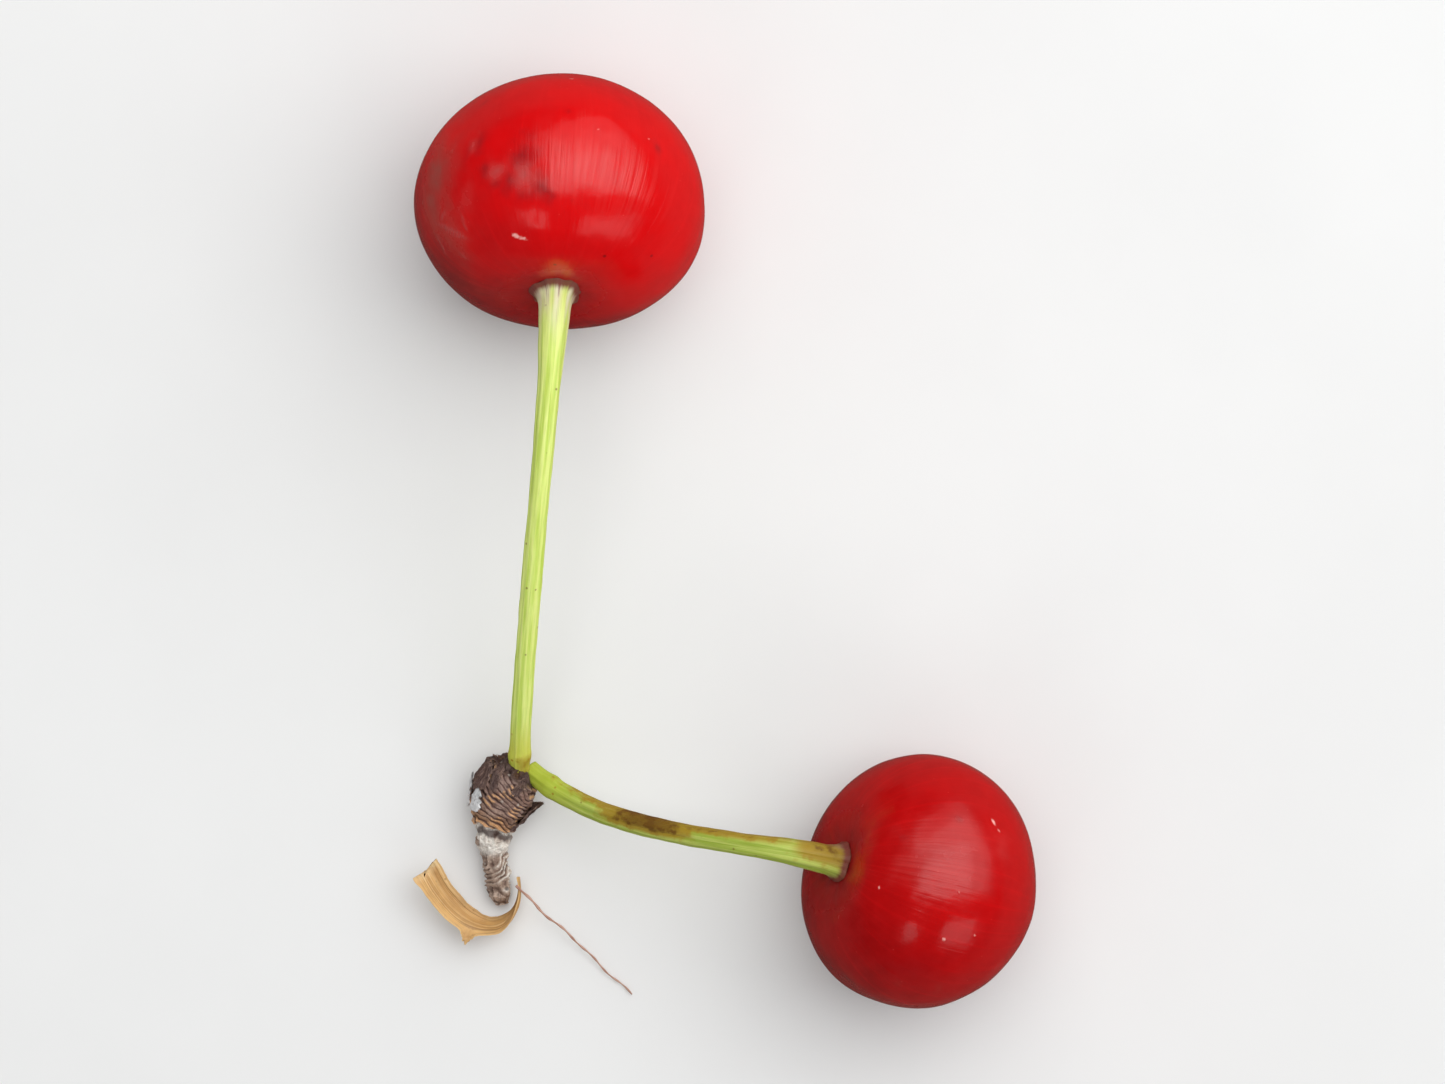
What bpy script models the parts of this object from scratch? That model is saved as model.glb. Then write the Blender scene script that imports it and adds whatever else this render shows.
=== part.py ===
"""Two sour cherries on stalks that grew from one woody spur, lying on a flat surface.

Units are metres and +Z is up. The two fruits rest on small flat patches and the spur rests on
its tail. The origin is the middle of the underside of the whole pair's bounding box.
"""

import math
from dataclasses import dataclass

import bmesh
import bpy
from mathutils import Matrix, Vector
from mathutils.geometry import interpolate_bezier

MM = 0.001


def mm(*values):
    """A point or a distance vector given in millimetres."""
    return Vector(values) * MM


@dataclass(frozen=True)
class Fruit:
    """One cherry's driving sizes, and how it lies."""

    radius: float  # widest, across the stalk's axis
    half_length: float  # middle to shoulder, along the stalk's axis
    cavity_depth: float  # of the hollow that the stalk sits in
    cavity_width: float
    middle: Vector  # in plan
    heading: float  # plan direction of the stalk end, from +X
    rise: float  # how far the stalk end is tipped up


@dataclass(frozen=True)
class Stalk:
    """One stalk, from the flare in its cherry to its base on the spur."""

    radius: float
    swelling: float  # extra radius where the stalk thickens towards its cherry
    swelling_length: float
    rim: float  # extra radius of the flared end
    rim_length: float
    leaving: float  # how far the stalk keeps its cherry's axis
    arriving: Vector  # the point that it comes from as it meets the spur
    base: Vector


UPPER_FRUIT = Fruit(
    radius=9.4 * MM,
    half_length=7.75 * MM,
    cavity_depth=1.4 * MM,
    cavity_width=3.4 * MM,
    middle=mm(-10.3, 21.7),
    heading=math.radians(-92.6),
    rise=math.radians(27),
)
LOWER_FRUIT = Fruit(
    radius=8.3 * MM,
    half_length=7.15 * MM,
    cavity_depth=1.35 * MM,
    cavity_width=3.0 * MM,
    middle=mm(12.55, -21.75),
    heading=math.radians(164.9),
    rise=math.radians(27),
)
UPPER_STALK = Stalk(
    radius=0.66 * MM,
    swelling=0.34 * MM,
    swelling_length=4.6 * MM,
    rim=0.65 * MM,
    rim_length=0.6 * MM,
    leaving=9 * MM,
    arriving=mm(-12.9, -8.8, 8.2),
    base=mm(-13.1, -14.32, 3.22),
)
LOWER_STALK = Stalk(
    radius=0.68 * MM,
    swelling=0.25 * MM,
    swelling_length=4 * MM,
    rim=0.4 * MM,
    rim_length=0.6 * MM,
    leaving=7.2 * MM,
    arriving=mm(-6.4, -19.1, 6.0),
    base=mm(-11.7, -15.35, 2.85),
)

# A cherry's skin.
SHOULDER_WIDENING = 0.035  # the fruit is this much wider towards its stalk
SUTURE_DEPTH = 0.014  # of the shallow crease down one side, as a share of the radius
SUTURE_WIDTH = math.radians(13)
SIDE_FLATTENING = 0.012  # across the suture
TIP_DIMPLE_DEPTH = 0.3 * MM
TIP_DIMPLE_WIDTH = 1.5 * MM
RESTING_SAG = 0.24 * MM  # how far ripe flesh flattens under its own weight
FRUIT_MERIDIANS = 44
FRUIT_PARALLELS = 26

STALK_CLEARANCE = 0.56 * MM  # flat flare to the middle of the rounded cavity floor
STALK_BASE_RADIUS = 0.4 * MM  # the base narrows between the bud scales
STALK_BASE_LENGTH = 0.5 * MM
STALK_STATIONS = 32
STALK_SIDES = 12

# The spur runs from the tip of its peeled tail to the end of its ring-scarred knob.
SPUR_ROUTE = (mm(-14.3, -23.5, 0.62), mm(-14.7, -20.8, 0.9), mm(-15.6, -17.8, 1.6), mm(-13.3, -14.7, 2.7))
SPUR_OUTLINE = (  # share of the route, and the radius there
    (0.0, 0.45 * MM),
    (0.08, 0.66 * MM),
    (0.3, 0.85 * MM),
    (0.52, 1.25 * MM),
    (0.6, 1.35 * MM),
    (0.72, 1.8 * MM),
    (0.86, 1.95 * MM),
    (0.97, 1.7 * MM),
    (1.0, 1.25 * MM),
)
SPUR_STATIONS = 58
SPUR_SIDES = 16
KNOB_START = 0.6  # share of the route where the ring scars begin
RING_SCARS = 7
RING_HEIGHT = 0.08 * MM
SPUR_REST_HEIGHT = 0.05 * MM  # the tail is cut this far up, so that it rests on a flat

CURL_ROUTE = (mm(-13.24, -21.7, 1.1), mm(-12.7, -25.6, 1.1), mm(-16.6, -26.5, 1.3), mm(-19.15, -21, 2.6))
CURL_WIDTH = 1.85 * MM
CURL_THICKNESS = 0.3 * MM
CURL_TURN = math.radians(82)  # from standing on its edge to lying on its face
CURL_STATIONS = 24

FIBRE_ROUTE = (mm(-12.58, -22.4, 1.2), mm(-11.3, -25.2, 0.5), mm(-8.0, -26.5, 0.3), mm(-5.9, -29.4, 0.22))
FIBRE_RADIUS = 0.14 * MM
FIBRE_STATIONS = 20
FIBRE_SIDES = 6

SCALE_THICKNESS = 0.24 * MM
SCALE_CLEARANCE = 0.34 * MM
SCALE_LIFT = 0.5 * MM  # how far a scale's tip stands off the knob
SCALE_THINNING = 0.4  # how much thinner a scale's tip is than its foot
SCALE_FOOT, SCALE_TIP = 0.22, 0.9  # the part of a half wave that gives a scale's outline
# Name, angle round the spur from its left side, shares of its route at both ends, and width.
BUD_SCALES = (
    ("bud_scale_left", math.radians(8), 0.6, 0.82, 1.7 * MM),
    ("bud_scale_right", math.radians(196), 0.64, 0.9, 1.7 * MM),
    ("bud_scale_top", math.radians(42), 0.82, 1.0, 1.5 * MM),
)

RING = 8  # sides of the thin strips' rounded outlines
UP = Vector((0, 0, 1))


def remove_everything():
    for item in list(bpy.data.objects):
        bpy.data.objects.remove(item, do_unlink=True)


def finish(name, colour, roughness):
    """A Principled material for one piece."""
    material = bpy.data.materials.new(name)
    material.use_nodes = True
    shader = material.node_tree.nodes["Principled BSDF"]
    shader.inputs["Base Color"].default_value = (*colour, 1)
    shader.inputs["Roughness"].default_value = roughness
    shader.inputs["Metallic"].default_value = 0
    return material


def solid(name, shape, material, place=(0, 0, 0)):
    """Makes an object of a bmesh, with its faces turned outwards and shaded smooth."""
    bmesh.ops.recalc_face_normals(shape, faces=shape.faces)
    mesh = bpy.data.meshes.new(name)
    shape.to_mesh(mesh)
    shape.free()
    mesh.shade_smooth()
    mesh.set_sharp_from_angle(angle=math.radians(40))
    mesh.materials.append(material)
    piece = bpy.data.objects.new(name, mesh)
    piece.location = place
    bpy.context.scene.collection.objects.link(piece)
    return piece


def cut_flat_below(shape, height):
    """Cuts away what is below a height and closes the cut with one flat face."""
    geometry = [*shape.verts, *shape.edges, *shape.faces]
    bmesh.ops.bisect_plane(shape, geom=geometry, plane_co=(0, 0, height), plane_no=-UP, clear_outer=True)
    rim = [edge for edge in shape.edges if edge.is_boundary]
    bmesh.ops.edgeloop_fill(shape, edges=rim)


def stalk_axis(fruit):
    """The direction in which a cherry's stalk end points."""
    flat = math.cos(fruit.rise)
    return Vector((flat * math.cos(fruit.heading), flat * math.sin(fruit.heading), math.sin(fruit.rise)))


def skin(fruit, polar, around):
    """A point of the skin at a polar angle from the stalk end and an angle round from the suture.

    The form is a flattened ball that widens towards its shoulders. The suture is a narrow dip in
    the radius that fades out at both ends. The stalk's cavity and the dimple at the tip are
    bell-shaped dips along the axis.
    """
    crease = SUTURE_DEPTH * math.exp(-((around / SUTURE_WIDTH) ** 2)) * math.sin(polar)
    oval = SIDE_FLATTENING * math.cos(2 * around)
    widening = SHOULDER_WIDENING * math.cos(polar)
    reach = fruit.radius * math.sin(polar) * (1 + widening - crease - oval)
    along = fruit.half_length * math.cos(polar)
    if along > 0:
        along -= fruit.cavity_depth * math.exp(-((reach / fruit.cavity_width) ** 2))
    else:
        along += TIP_DIMPLE_DEPTH * math.exp(-((reach / TIP_DIMPLE_WIDTH) ** 2))
    return Vector((reach * math.cos(around), reach * math.sin(around), along))


def make_cherry(name, fruit, material):
    """Makes a cherry lying on its resting patch, and gives back the middle of its body."""
    shape = bmesh.new()
    bmesh.ops.create_uvsphere(shape, u_segments=FRUIT_MERIDIANS, v_segments=FRUIT_PARALLELS, radius=1)
    for corner in shape.verts:
        polar = math.acos(max(-1, min(1, corner.co.z)))
        corner.co = skin(fruit, polar, math.atan2(corner.co.y, corner.co.x))
    turn = stalk_axis(fruit).to_track_quat("Z", "Y").to_matrix().to_4x4()
    bmesh.ops.transform(shape, matrix=turn, verts=shape.verts)
    patch = min(corner.co.z for corner in shape.verts) + RESTING_SAG
    cut_flat_below(shape, patch)
    middle = Vector((fruit.middle.x, fruit.middle.y, -patch))
    solid(name, shape, material, middle)
    return middle


def route_directions(points):
    """The unit direction of travel at each point of a route."""
    last = len(points) - 1
    return [(points[min(i + 1, last)] - points[max(i - 1, 0)]).normalized() for i in range(last + 1)]


def level_frames(points, roll_start=0.0, roll_end=0.0):
    """A turn for each point of a route: local Z travels along it and local X lies level.

    The frame then rolls about the route by an angle that goes smoothly from start to end.
    """
    frames = []
    for i, travel in enumerate(route_directions(points)):
        level = UP.cross(travel).normalized()
        frame = Matrix((level, travel.cross(level), travel)).transposed()
        share = i / (len(points) - 1)
        roll = roll_start + (roll_end - roll_start) * share * share * (3 - 2 * share)
        frames.append(frame @ Matrix.Rotation(roll, 3, "Z"))
    return frames


def loft(points, frames, half_sizes, sides):
    """Carries a rounded outline along a route and closes both ends."""
    shape = bmesh.new()
    rings = []
    last = len(points) - 1
    for i, (point, frame, (across, deep)) in enumerate(zip(points, frames, half_sizes)):
        place = Matrix.Translation(point) @ frame.to_4x4() @ Matrix.Diagonal((across, deep, 1, 1))
        made = bmesh.ops.create_circle(
            shape, cap_ends=i in (0, last), segments=sides, radius=1, matrix=place
        )
        rings.append(list({edge for corner in made["verts"] for edge in corner.link_edges}))
    for first, second in zip(rings, rings[1:]):
        bmesh.ops.bridge_loops(shape, edges=first + second)
    return shape


def lengths_along(points):
    """How far each point of a route is from its start."""
    found = [0.0]
    for here, there in zip(points, points[1:]):
        found.append(found[-1] + (there - here).length)
    return found


def make_stalk(name, stalk, fruit, fruit_middle, material):
    """A stalk from its flared end in the cherry's cavity, over in an arch, to its base."""
    axis = stalk_axis(fruit)
    start = fruit_middle + axis * (fruit.half_length - fruit.cavity_depth + STALK_CLEARANCE)
    leaving = start + axis * stalk.leaving
    points = interpolate_bezier(start, leaving, stalk.arriving, stalk.base, STALK_STATIONS)
    reached = lengths_along(points)
    sizes = []
    for run in reached:
        swelling = stalk.swelling * math.exp(-((run / stalk.swelling_length) ** 2))
        rim = stalk.rim * math.exp(-run / stalk.rim_length)
        narrowing = min(1.0, (reached[-1] - run) / STALK_BASE_LENGTH)
        body = stalk.radius + swelling + rim
        radius = STALK_BASE_RADIUS + (body - STALK_BASE_RADIUS) * narrowing
        sizes.append((radius, radius))
    return solid(name, loft(points, level_frames(points), sizes, STALK_SIDES), material)


def outline_radius(share):
    """The spur's radius at a share of its length, eased between the outline's points."""
    for (low, first), (high, second) in zip(SPUR_OUTLINE, SPUR_OUTLINE[1:]):
        if share <= high:
            step = (share - low) / (high - low)
            return first + (second - first) * step * step * (3 - 2 * step)
    return SPUR_OUTLINE[-1][1]


def make_spur(material):
    """The woody spur: a peeled tail, and a knob ringed with scars."""
    points = interpolate_bezier(*SPUR_ROUTE, SPUR_STATIONS)
    reached = lengths_along(points)
    sizes = []
    for run in reached:
        share = run / reached[-1]
        radius = outline_radius(share)
        if KNOB_START < share < 1:
            turns = RING_SCARS * (share - KNOB_START) / (1 - KNOB_START)
            radius += RING_HEIGHT * math.sin(2 * math.pi * turns)
        sizes.append((radius, radius))
    shape = loft(points, level_frames(points), sizes, SPUR_SIDES)
    cut_flat_below(shape, SPUR_REST_HEIGHT)
    return solid("spur", shape, material, -UP * SPUR_REST_HEIGHT)


def make_bark_curl(material):
    """A strip of bark that stands on its edge beside the tail, then turns and lies on its face."""
    points = interpolate_bezier(*CURL_ROUTE, CURL_STATIONS)
    quarter_turn = math.pi / 2
    frames = level_frames(points, quarter_turn, quarter_turn - CURL_TURN)
    sizes = [(CURL_WIDTH / 2, CURL_THICKNESS / 2)] * CURL_STATIONS
    return solid("bark_curl", loft(points, frames, sizes, RING), material)


def make_bark_fibre(material):
    """A thin fibre that droops from the tear to the surface."""
    points = interpolate_bezier(*FIBRE_ROUTE, FIBRE_STATIONS)
    sizes = [(FIBRE_RADIUS, FIBRE_RADIUS)] * FIBRE_STATIONS
    return solid("bark_fibre", loft(points, level_frames(points), sizes, FIBRE_SIDES), material)


def make_bud_scale(name, around, start, end, width, material):
    """A dried scale that hugs the knob, with its pointed tip lifting away towards the stalks."""
    route = interpolate_bezier(*SPUR_ROUTE, SPUR_STATIONS)
    reached = lengths_along(route)
    clear = RING_HEIGHT + SCALE_CLEARANCE + SCALE_THICKNESS / 2
    points = []
    sizes = []
    outwards = []
    for point, frame, run in zip(route, level_frames(route), reached):
        share = run / reached[-1]
        if not start <= share <= end:
            continue
        part = (share - start) / (end - start)
        outward = frame @ Vector((math.cos(around), math.sin(around), 0))
        outwards.append(outward)
        points.append(point + outward * (outline_radius(share) + clear + SCALE_LIFT * part * part))
        half_width = width / 2 * math.sin(math.pi * (SCALE_FOOT + (SCALE_TIP - SCALE_FOOT) * part))
        sizes.append((half_width, SCALE_THICKNESS / 2 * (1 - SCALE_THINNING * part)))
    lying = []
    for outward, travel in zip(outwards, route_directions(points)):
        across = travel.cross(outward).normalized()
        lying.append(Matrix((across, travel.cross(across), travel)).transposed())
    return solid(name, loft(points, lying, sizes, RING), material)


def stand_on_origin():
    """Moves the pair so that the middle of its box's underside is the origin."""
    bpy.context.view_layer.update()
    pieces = list(bpy.context.scene.objects)
    corners = [piece.matrix_world @ corner.co for piece in pieces for corner in piece.data.vertices]
    low = Vector(min(corner[i] for corner in corners) for i in range(3))
    high = Vector(max(corner[i] for corner in corners) for i in range(3))
    middle = (low + high) / 2
    for piece in pieces:
        piece.location -= Vector((middle.x, middle.y, low.z))


def main():
    remove_everything()
    bright_skin = finish("bright cherry skin", (0.62, 0.004, 0.008), 0.25)
    deep_skin = finish("deep cherry skin", (0.36, 0.002, 0.004), 0.25)
    green_stalk = finish("green stalk", (0.55, 0.72, 0.12), 0.5)
    dull_stalk = finish("dull green stalk", (0.4, 0.5, 0.1), 0.5)
    wood = finish("scarred wood", (0.3, 0.17, 0.09), 0.8)
    papery_bark = finish("papery bark", (0.62, 0.36, 0.11), 0.7)
    pale_fibre = finish("pale fibre", (0.45, 0.25, 0.17), 0.7)
    dry_scale = finish("dry scale", (0.1, 0.06, 0.05), 0.8)

    upper_middle = make_cherry("upper_cherry", UPPER_FRUIT, bright_skin)
    lower_middle = make_cherry("lower_cherry", LOWER_FRUIT, deep_skin)
    make_stalk("upper_stalk", UPPER_STALK, UPPER_FRUIT, upper_middle, green_stalk)
    make_stalk("lower_stalk", LOWER_STALK, LOWER_FRUIT, lower_middle, dull_stalk)
    make_spur(wood)
    make_bark_curl(papery_bark)
    make_bark_fibre(pale_fibre)
    for name, around, start, end, width in BUD_SCALES:
        make_bud_scale(name, around, start, end, width, dry_scale)
    stand_on_origin()


main()
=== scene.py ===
"""Looks of a pair of sour cherries: two fruits on stalks that grew from one woody spur.

Every piece is a surface worked out with numpy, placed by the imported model's own boxes, and
finished with a procedural material.
"""

import math

import bpy
import numpy as np
from bpy.props import FloatProperty, FloatVectorProperty, IntProperty, PointerProperty
from mathutils import Matrix, Vector


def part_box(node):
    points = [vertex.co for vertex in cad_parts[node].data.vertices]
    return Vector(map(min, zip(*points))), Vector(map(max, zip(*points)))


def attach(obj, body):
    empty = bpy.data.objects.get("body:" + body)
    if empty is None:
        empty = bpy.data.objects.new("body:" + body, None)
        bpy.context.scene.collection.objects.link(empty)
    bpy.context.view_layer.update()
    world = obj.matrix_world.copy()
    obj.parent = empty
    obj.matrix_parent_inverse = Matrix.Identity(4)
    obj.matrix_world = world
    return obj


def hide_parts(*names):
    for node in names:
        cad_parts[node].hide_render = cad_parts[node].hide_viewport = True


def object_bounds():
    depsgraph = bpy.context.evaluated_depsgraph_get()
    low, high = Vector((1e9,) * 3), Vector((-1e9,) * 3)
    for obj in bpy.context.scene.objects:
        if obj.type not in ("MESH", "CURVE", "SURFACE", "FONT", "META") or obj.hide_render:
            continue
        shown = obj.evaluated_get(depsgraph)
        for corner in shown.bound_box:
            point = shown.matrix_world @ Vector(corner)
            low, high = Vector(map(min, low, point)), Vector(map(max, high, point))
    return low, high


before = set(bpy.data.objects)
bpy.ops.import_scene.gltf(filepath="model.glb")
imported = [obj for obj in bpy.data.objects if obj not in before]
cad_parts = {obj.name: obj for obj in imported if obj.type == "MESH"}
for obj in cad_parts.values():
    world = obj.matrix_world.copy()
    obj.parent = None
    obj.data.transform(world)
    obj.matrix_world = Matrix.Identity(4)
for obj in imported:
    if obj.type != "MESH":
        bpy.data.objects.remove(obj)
cad_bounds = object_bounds()

bl_info = {
    "name": "Cherry Pair",
    "version": (1, 0, 0),
    "blender": (4, 5, 0),
    "location": "View3D > Sidebar > Cherry Pair",
    "description": "Builds two cherries on joined stalks, with their spur and torn bark",
    "category": "Object",
}

MM = 0.001
UP = np.array((0.0, 0.0, 1.0))
BODY = "root"


# ---------------------------------------------------------------- places


def box_of(node):
    """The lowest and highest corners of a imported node, as arrays."""
    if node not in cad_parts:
        raise RuntimeError("the packed model has no node named " + node)
    low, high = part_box(node)
    return np.array(low), np.array(high)


def middle_of(node):
    low, high = box_of(node)
    return (low + high) / 2


def from_spur(*offsets):
    """Points given in millimetres from the middle of the spur's box."""
    return middle_of("spur") + np.array(offsets) * MM


# The spur's own curve, and where the torn strip and the fibre run, all from the spur's middle.
SPUR_ROUTE = from_spur(
    (-0.165, -4.765, -1.56), (-0.565, -2.065, -1.28), (-1.465, 0.935, -0.58), (0.835, 4.035, 0.52)
)
CURL_ROUTE = from_spur(
    (0.895, -2.965, -1.03), (1.435, -6.865, -1.03), (-2.465, -7.765, -0.83), (-5.015, -2.265, 0.47)
)
FIBRE_ROUTE = from_spur((0.8, -3.5, -0.2), (2.1, -4.9, -0.8), (5.5, -7.9, -1.93), (8.235, -10.665, -1.93))

FRUITS = {
    "upper_cherry": {
        "radius": 9.4 * MM,
        "half_length": 7.75 * MM,
        "cavity_depth": 1.4 * MM,
        "cavity_width": 3.4 * MM,
        "heading": math.radians(-92.6),
        "rise": math.radians(27),
    },
    "lower_cherry": {
        "radius": 8.3 * MM,
        "half_length": 7.15 * MM,
        "cavity_depth": 1.35 * MM,
        "cavity_width": 3.0 * MM,
        "heading": math.radians(164.9),
        "rise": math.radians(27),
    },
}
STALKS = {
    "upper_stalk": {
        "fruit": "upper_cherry",
        "radius": 0.66 * MM,
        "swelling": 0.34 * MM,
        "swelling_length": 4.6 * MM,
        "rim": 0.65 * MM,
        "rim_length": 0.6 * MM,
        "leaving": 9 * MM,
        "dryness": 1.0,
        "arriving": from_spur((1.235, 9.935, 6.07))[0],
        "base": from_spur((1.035, 4.415, 1.09))[0],
    },
    "lower_stalk": {
        "fruit": "lower_cherry",
        "radius": 0.68 * MM,
        "swelling": 0.25 * MM,
        "swelling_length": 4 * MM,
        "rim": 0.4 * MM,
        "rim_length": 0.6 * MM,
        "leaving": 7.2 * MM,
        "dryness": 0.2,
        "arriving": from_spur((7.735, -0.365, 3.87))[0],
        "base": from_spur((2.435, 3.385, 0.72))[0],
    },
}
STALK_CLEARANCE = 0.56 * MM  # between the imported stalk's flare and the cavity floor
STALK_SINKING = 0.4 * MM  # how much deeper the finished flare reaches
STALK_RUN_ON = 0.05  # how far a stalk runs on between the bud scales, as a share of its curve
RIM_WIDTH = 0.36 * MM  # of the flare's torn rim, along the stalk
KNUCKLE, KNUCKLE_AT, KNUCKLE_WIDTH = 0.09 * MM, 0.9 * MM, 0.5 * MM  # swelling near the base
RIM_EDGE = 0.06 * MM  # how far the rim's rounded edge reaches


# ---------------------------------------------------------------- numpy surfaces


def ease(values, low, high):
    """A smooth step from 0 at low to 1 at high: 3s^2 - 2s^3."""
    s = np.clip((values - low) / (high - low), 0, 1)
    return s * s * (3 - 2 * s)


def uneven(points, size, seed, layers=3, waves=14):
    """Smooth seeded unevenness, about -1 to 1, with features of the given size.

    It is a sum of sine waves in random directions. Each further layer has waves half as long and
    half as high.
    """
    rng = np.random.default_rng(seed)
    total = np.zeros(points.shape[:-1])
    for layer in range(layers):
        ways = rng.normal(size=(waves, points.shape[-1]))
        ways /= np.linalg.norm(ways, axis=1, keepdims=True)
        starts = rng.uniform(0, 2 * np.pi, waves)
        turns = points @ ways.T * (2 * np.pi * 2**layer / size) + starts
        total += np.sin(turns).sum(-1) * math.sqrt(2 / waves) * 0.5 ** (layer + 1)
    return total


def uneven_at(parts, seed, layers):
    """Unevenness with features of size 1 at places given part by part."""
    return uneven(np.stack(parts, -1), 1.0, seed, layers)


def bezier(route, share):
    """A cubic Bezier curve: (1-t)^3 a + 3(1-t)^2 t b + 3(1-t) t^2 c + t^3 d."""
    a, b, c, d = route
    t = np.asarray(share)[..., None]
    return (1 - t) ** 3 * a + 3 * (1 - t) ** 2 * t * b + 3 * (1 - t) * t**2 * c + t**3 * d


def bezier_travel(route, share):
    """The unit direction of a cubic Bezier curve, from its derivative."""
    a, b, c, d = route
    t = np.asarray(share)[..., None]
    way = (1 - t) ** 2 * (b - a) + 2 * (1 - t) * t * (c - b) + t**2 * (d - c)
    return way / np.linalg.norm(way, axis=-1, keepdims=True)


def carried(route, share, across, deep, roll=0.0):
    """Points of a profile carried along a curve.

    The profile's two axes stay square to the curve: one lies level and the other rises. They turn
    about the curve by the roll. point = curve(share) + across * level + deep * rising.
    """
    centre = bezier(route, share)
    travel = bezier_travel(route, share)
    level = np.cross(UP, travel)
    level /= np.linalg.norm(level, axis=-1, keepdims=True)
    rising = np.cross(travel, level)
    turn = np.asarray(roll)[..., None] * np.ones_like(across)[..., None]
    first = level * np.cos(turn) + rising * np.sin(turn)
    second = rising * np.cos(turn) - level * np.sin(turn)
    return centre + first * across[..., None] + second * deep[..., None]


def kept_above(points, height):
    """Points held at or above a height, which makes the flat spot that a piece rests on."""
    points[..., 2] = np.maximum(points[..., 2], height)
    return points


def length_along(route, share):
    """How far each share of a curve is from its start, by adding up short chords."""
    steps = np.linspace(0, 1, 400)
    chords = np.linalg.norm(np.diff(bezier(route, steps), axis=0), axis=1)
    return np.interp(share, steps, np.concatenate(([0.0], np.cumsum(chords))))


def grid(rows, columns):
    """Shares from 0 to 1 down the rows, and angles once round the columns."""
    down = np.linspace(0, 1, rows)[:, None] * np.ones(columns)
    around = np.ones(rows)[:, None] * np.linspace(0, 2 * np.pi, columns, endpoint=False)
    return down, around


def closed_shell(rings, first):
    """Faces of one closed shell whose points start at a number: quads, and both ends' fans."""
    rows, columns = rings.shape[:2]
    row, column = np.meshgrid(np.arange(rows - 1), np.arange(columns), indexing="ij")
    following = (column + 1) % columns
    corners = (row * columns + column, row * columns + following)
    corners += ((row + 1) * columns + following, (row + 1) * columns + column)
    quads = np.stack(corners, -1).reshape(-1, 4)
    one = np.arange(columns)
    other = (one + 1) % columns
    last = (rows - 1) * columns
    middles = np.full(columns, rows * columns)
    first_fan = np.stack([middles, other, one], -1)
    last_fan = np.stack([middles + 1, last + one, last + other], -1)
    fans = np.vstack([first_fan, last_fan])
    points = np.vstack([rings.reshape(-1, 3), rings[0].mean(0), rings[-1].mean(0)])
    triangles = points[np.vstack([quads[:, [0, 1, 2]], quads[:, [0, 2, 3]], fans])]
    volume = np.einsum("ij,ij->i", triangles[:, 0], np.cross(triangles[:, 1], triangles[:, 2])).sum()
    if volume < 0:
        quads, fans = quads[:, ::-1], fans[:, ::-1]
    return points, quads + first, fans + first


def skin_piece(name, shells):
    """Makes one mesh of closed shells. Each shell is its rings and what is painted on them.

    rings[i, j] are ring i's points in order round the piece. The first and last rings are closed
    by a fan of triangles to their middle. The paint's values go into the mesh as attributes.
    """
    points, quads, fans = [], [], []
    paint = {layer: [] for layer in shells[0][1]}
    count = 0
    for rings, colours in shells:
        shell_points, shell_quads, shell_fans = closed_shell(rings, count)
        count += len(shell_points)
        points.append(shell_points)
        quads.append(shell_quads)
        fans.append(shell_fans)
        for layer, values in colours.items():
            flat = values.reshape(-1, *values.shape[2:])
            paint[layer].append(np.concatenate([flat, values[:1].mean(1), values[-1:].mean(1)]))
    mesh = bpy.data.meshes.new(name)
    mesh.from_pydata(np.vstack(points).tolist(), [], np.vstack(quads).tolist() + np.vstack(fans).tolist())
    for layer, values in paint.items():
        whole = np.concatenate(values).astype(np.float32)
        kind, field = ("FLOAT_VECTOR", "vector") if whole.ndim == 2 else ("FLOAT", "value")
        mesh.attributes.new(layer, kind, "POINT").data.foreach_set(field, whole.ravel())
    mesh.shade_smooth()
    mesh.validate()
    piece = bpy.data.objects.new(name, mesh)
    bpy.context.scene.collection.objects.link(piece)
    return piece


def settle(piece, node, material):
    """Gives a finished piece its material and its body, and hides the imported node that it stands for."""
    piece.data.materials.append(material)
    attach(piece, BODY)
    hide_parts(node)


def lie(along, around):
    """A pattern place that has no seam: the angle's cosine and sine, and millimetres along."""
    return np.stack([np.cos(around), np.sin(around), along / MM], -1)


# ---------------------------------------------------------------- node trees


def tint(name, description, default):
    """A colour that a user may change."""
    return FloatVectorProperty(name=name, description=description, subtype="COLOR", default=default)


def amount(name, description, default, **limits):
    """A quantity that a user may change."""
    return FloatProperty(name=name, description=description, default=default, **limits)


def connect(tree, node, sockets):
    """Gives a node's sockets a value or a link each. Colours are made opaque."""
    for name, value in sockets.items():
        socket = node.inputs[name]
        if isinstance(value, bpy.types.NodeSocket):
            tree.links.new(value, socket)
        else:
            socket.default_value = (*value, 1.0) if socket.type == "RGBA" else value


def put(tree, kind, sockets=None, **settings):
    """Adds a node, sets its properties and fills its sockets."""
    made = tree.nodes.new(kind)
    for name, value in settings.items():
        setattr(made, name, value)
    connect(tree, made, sockets or {})
    return made


def calculate(tree, operation, first, second):
    return put(tree, "ShaderNodeMath", {0: first, 1: second}, operation=operation).outputs[0]


def times(tree, first, second):
    return calculate(tree, "MULTIPLY", first, second)


def scaled(tree, value, factor, start, clamp=False):
    """value x factor + start."""
    sockets = {0: value, 1: factor, 2: start}
    return put(tree, "ShaderNodeMath", sockets, operation="MULTIPLY_ADD", use_clamp=clamp).outputs[0]


def blend(tree, share, first, second):
    """Mixes two colours."""
    return put(tree, "ShaderNodeMix", {0: share, 6: first, 7: second}, data_type="RGBA").outputs[2]


def overlaid(tree, colour, mask, share, over):
    """Lays a setting's colour over another where a mask shows, at most by a share."""
    return blend(tree, times(tree, mask, share), colour, over)


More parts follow.
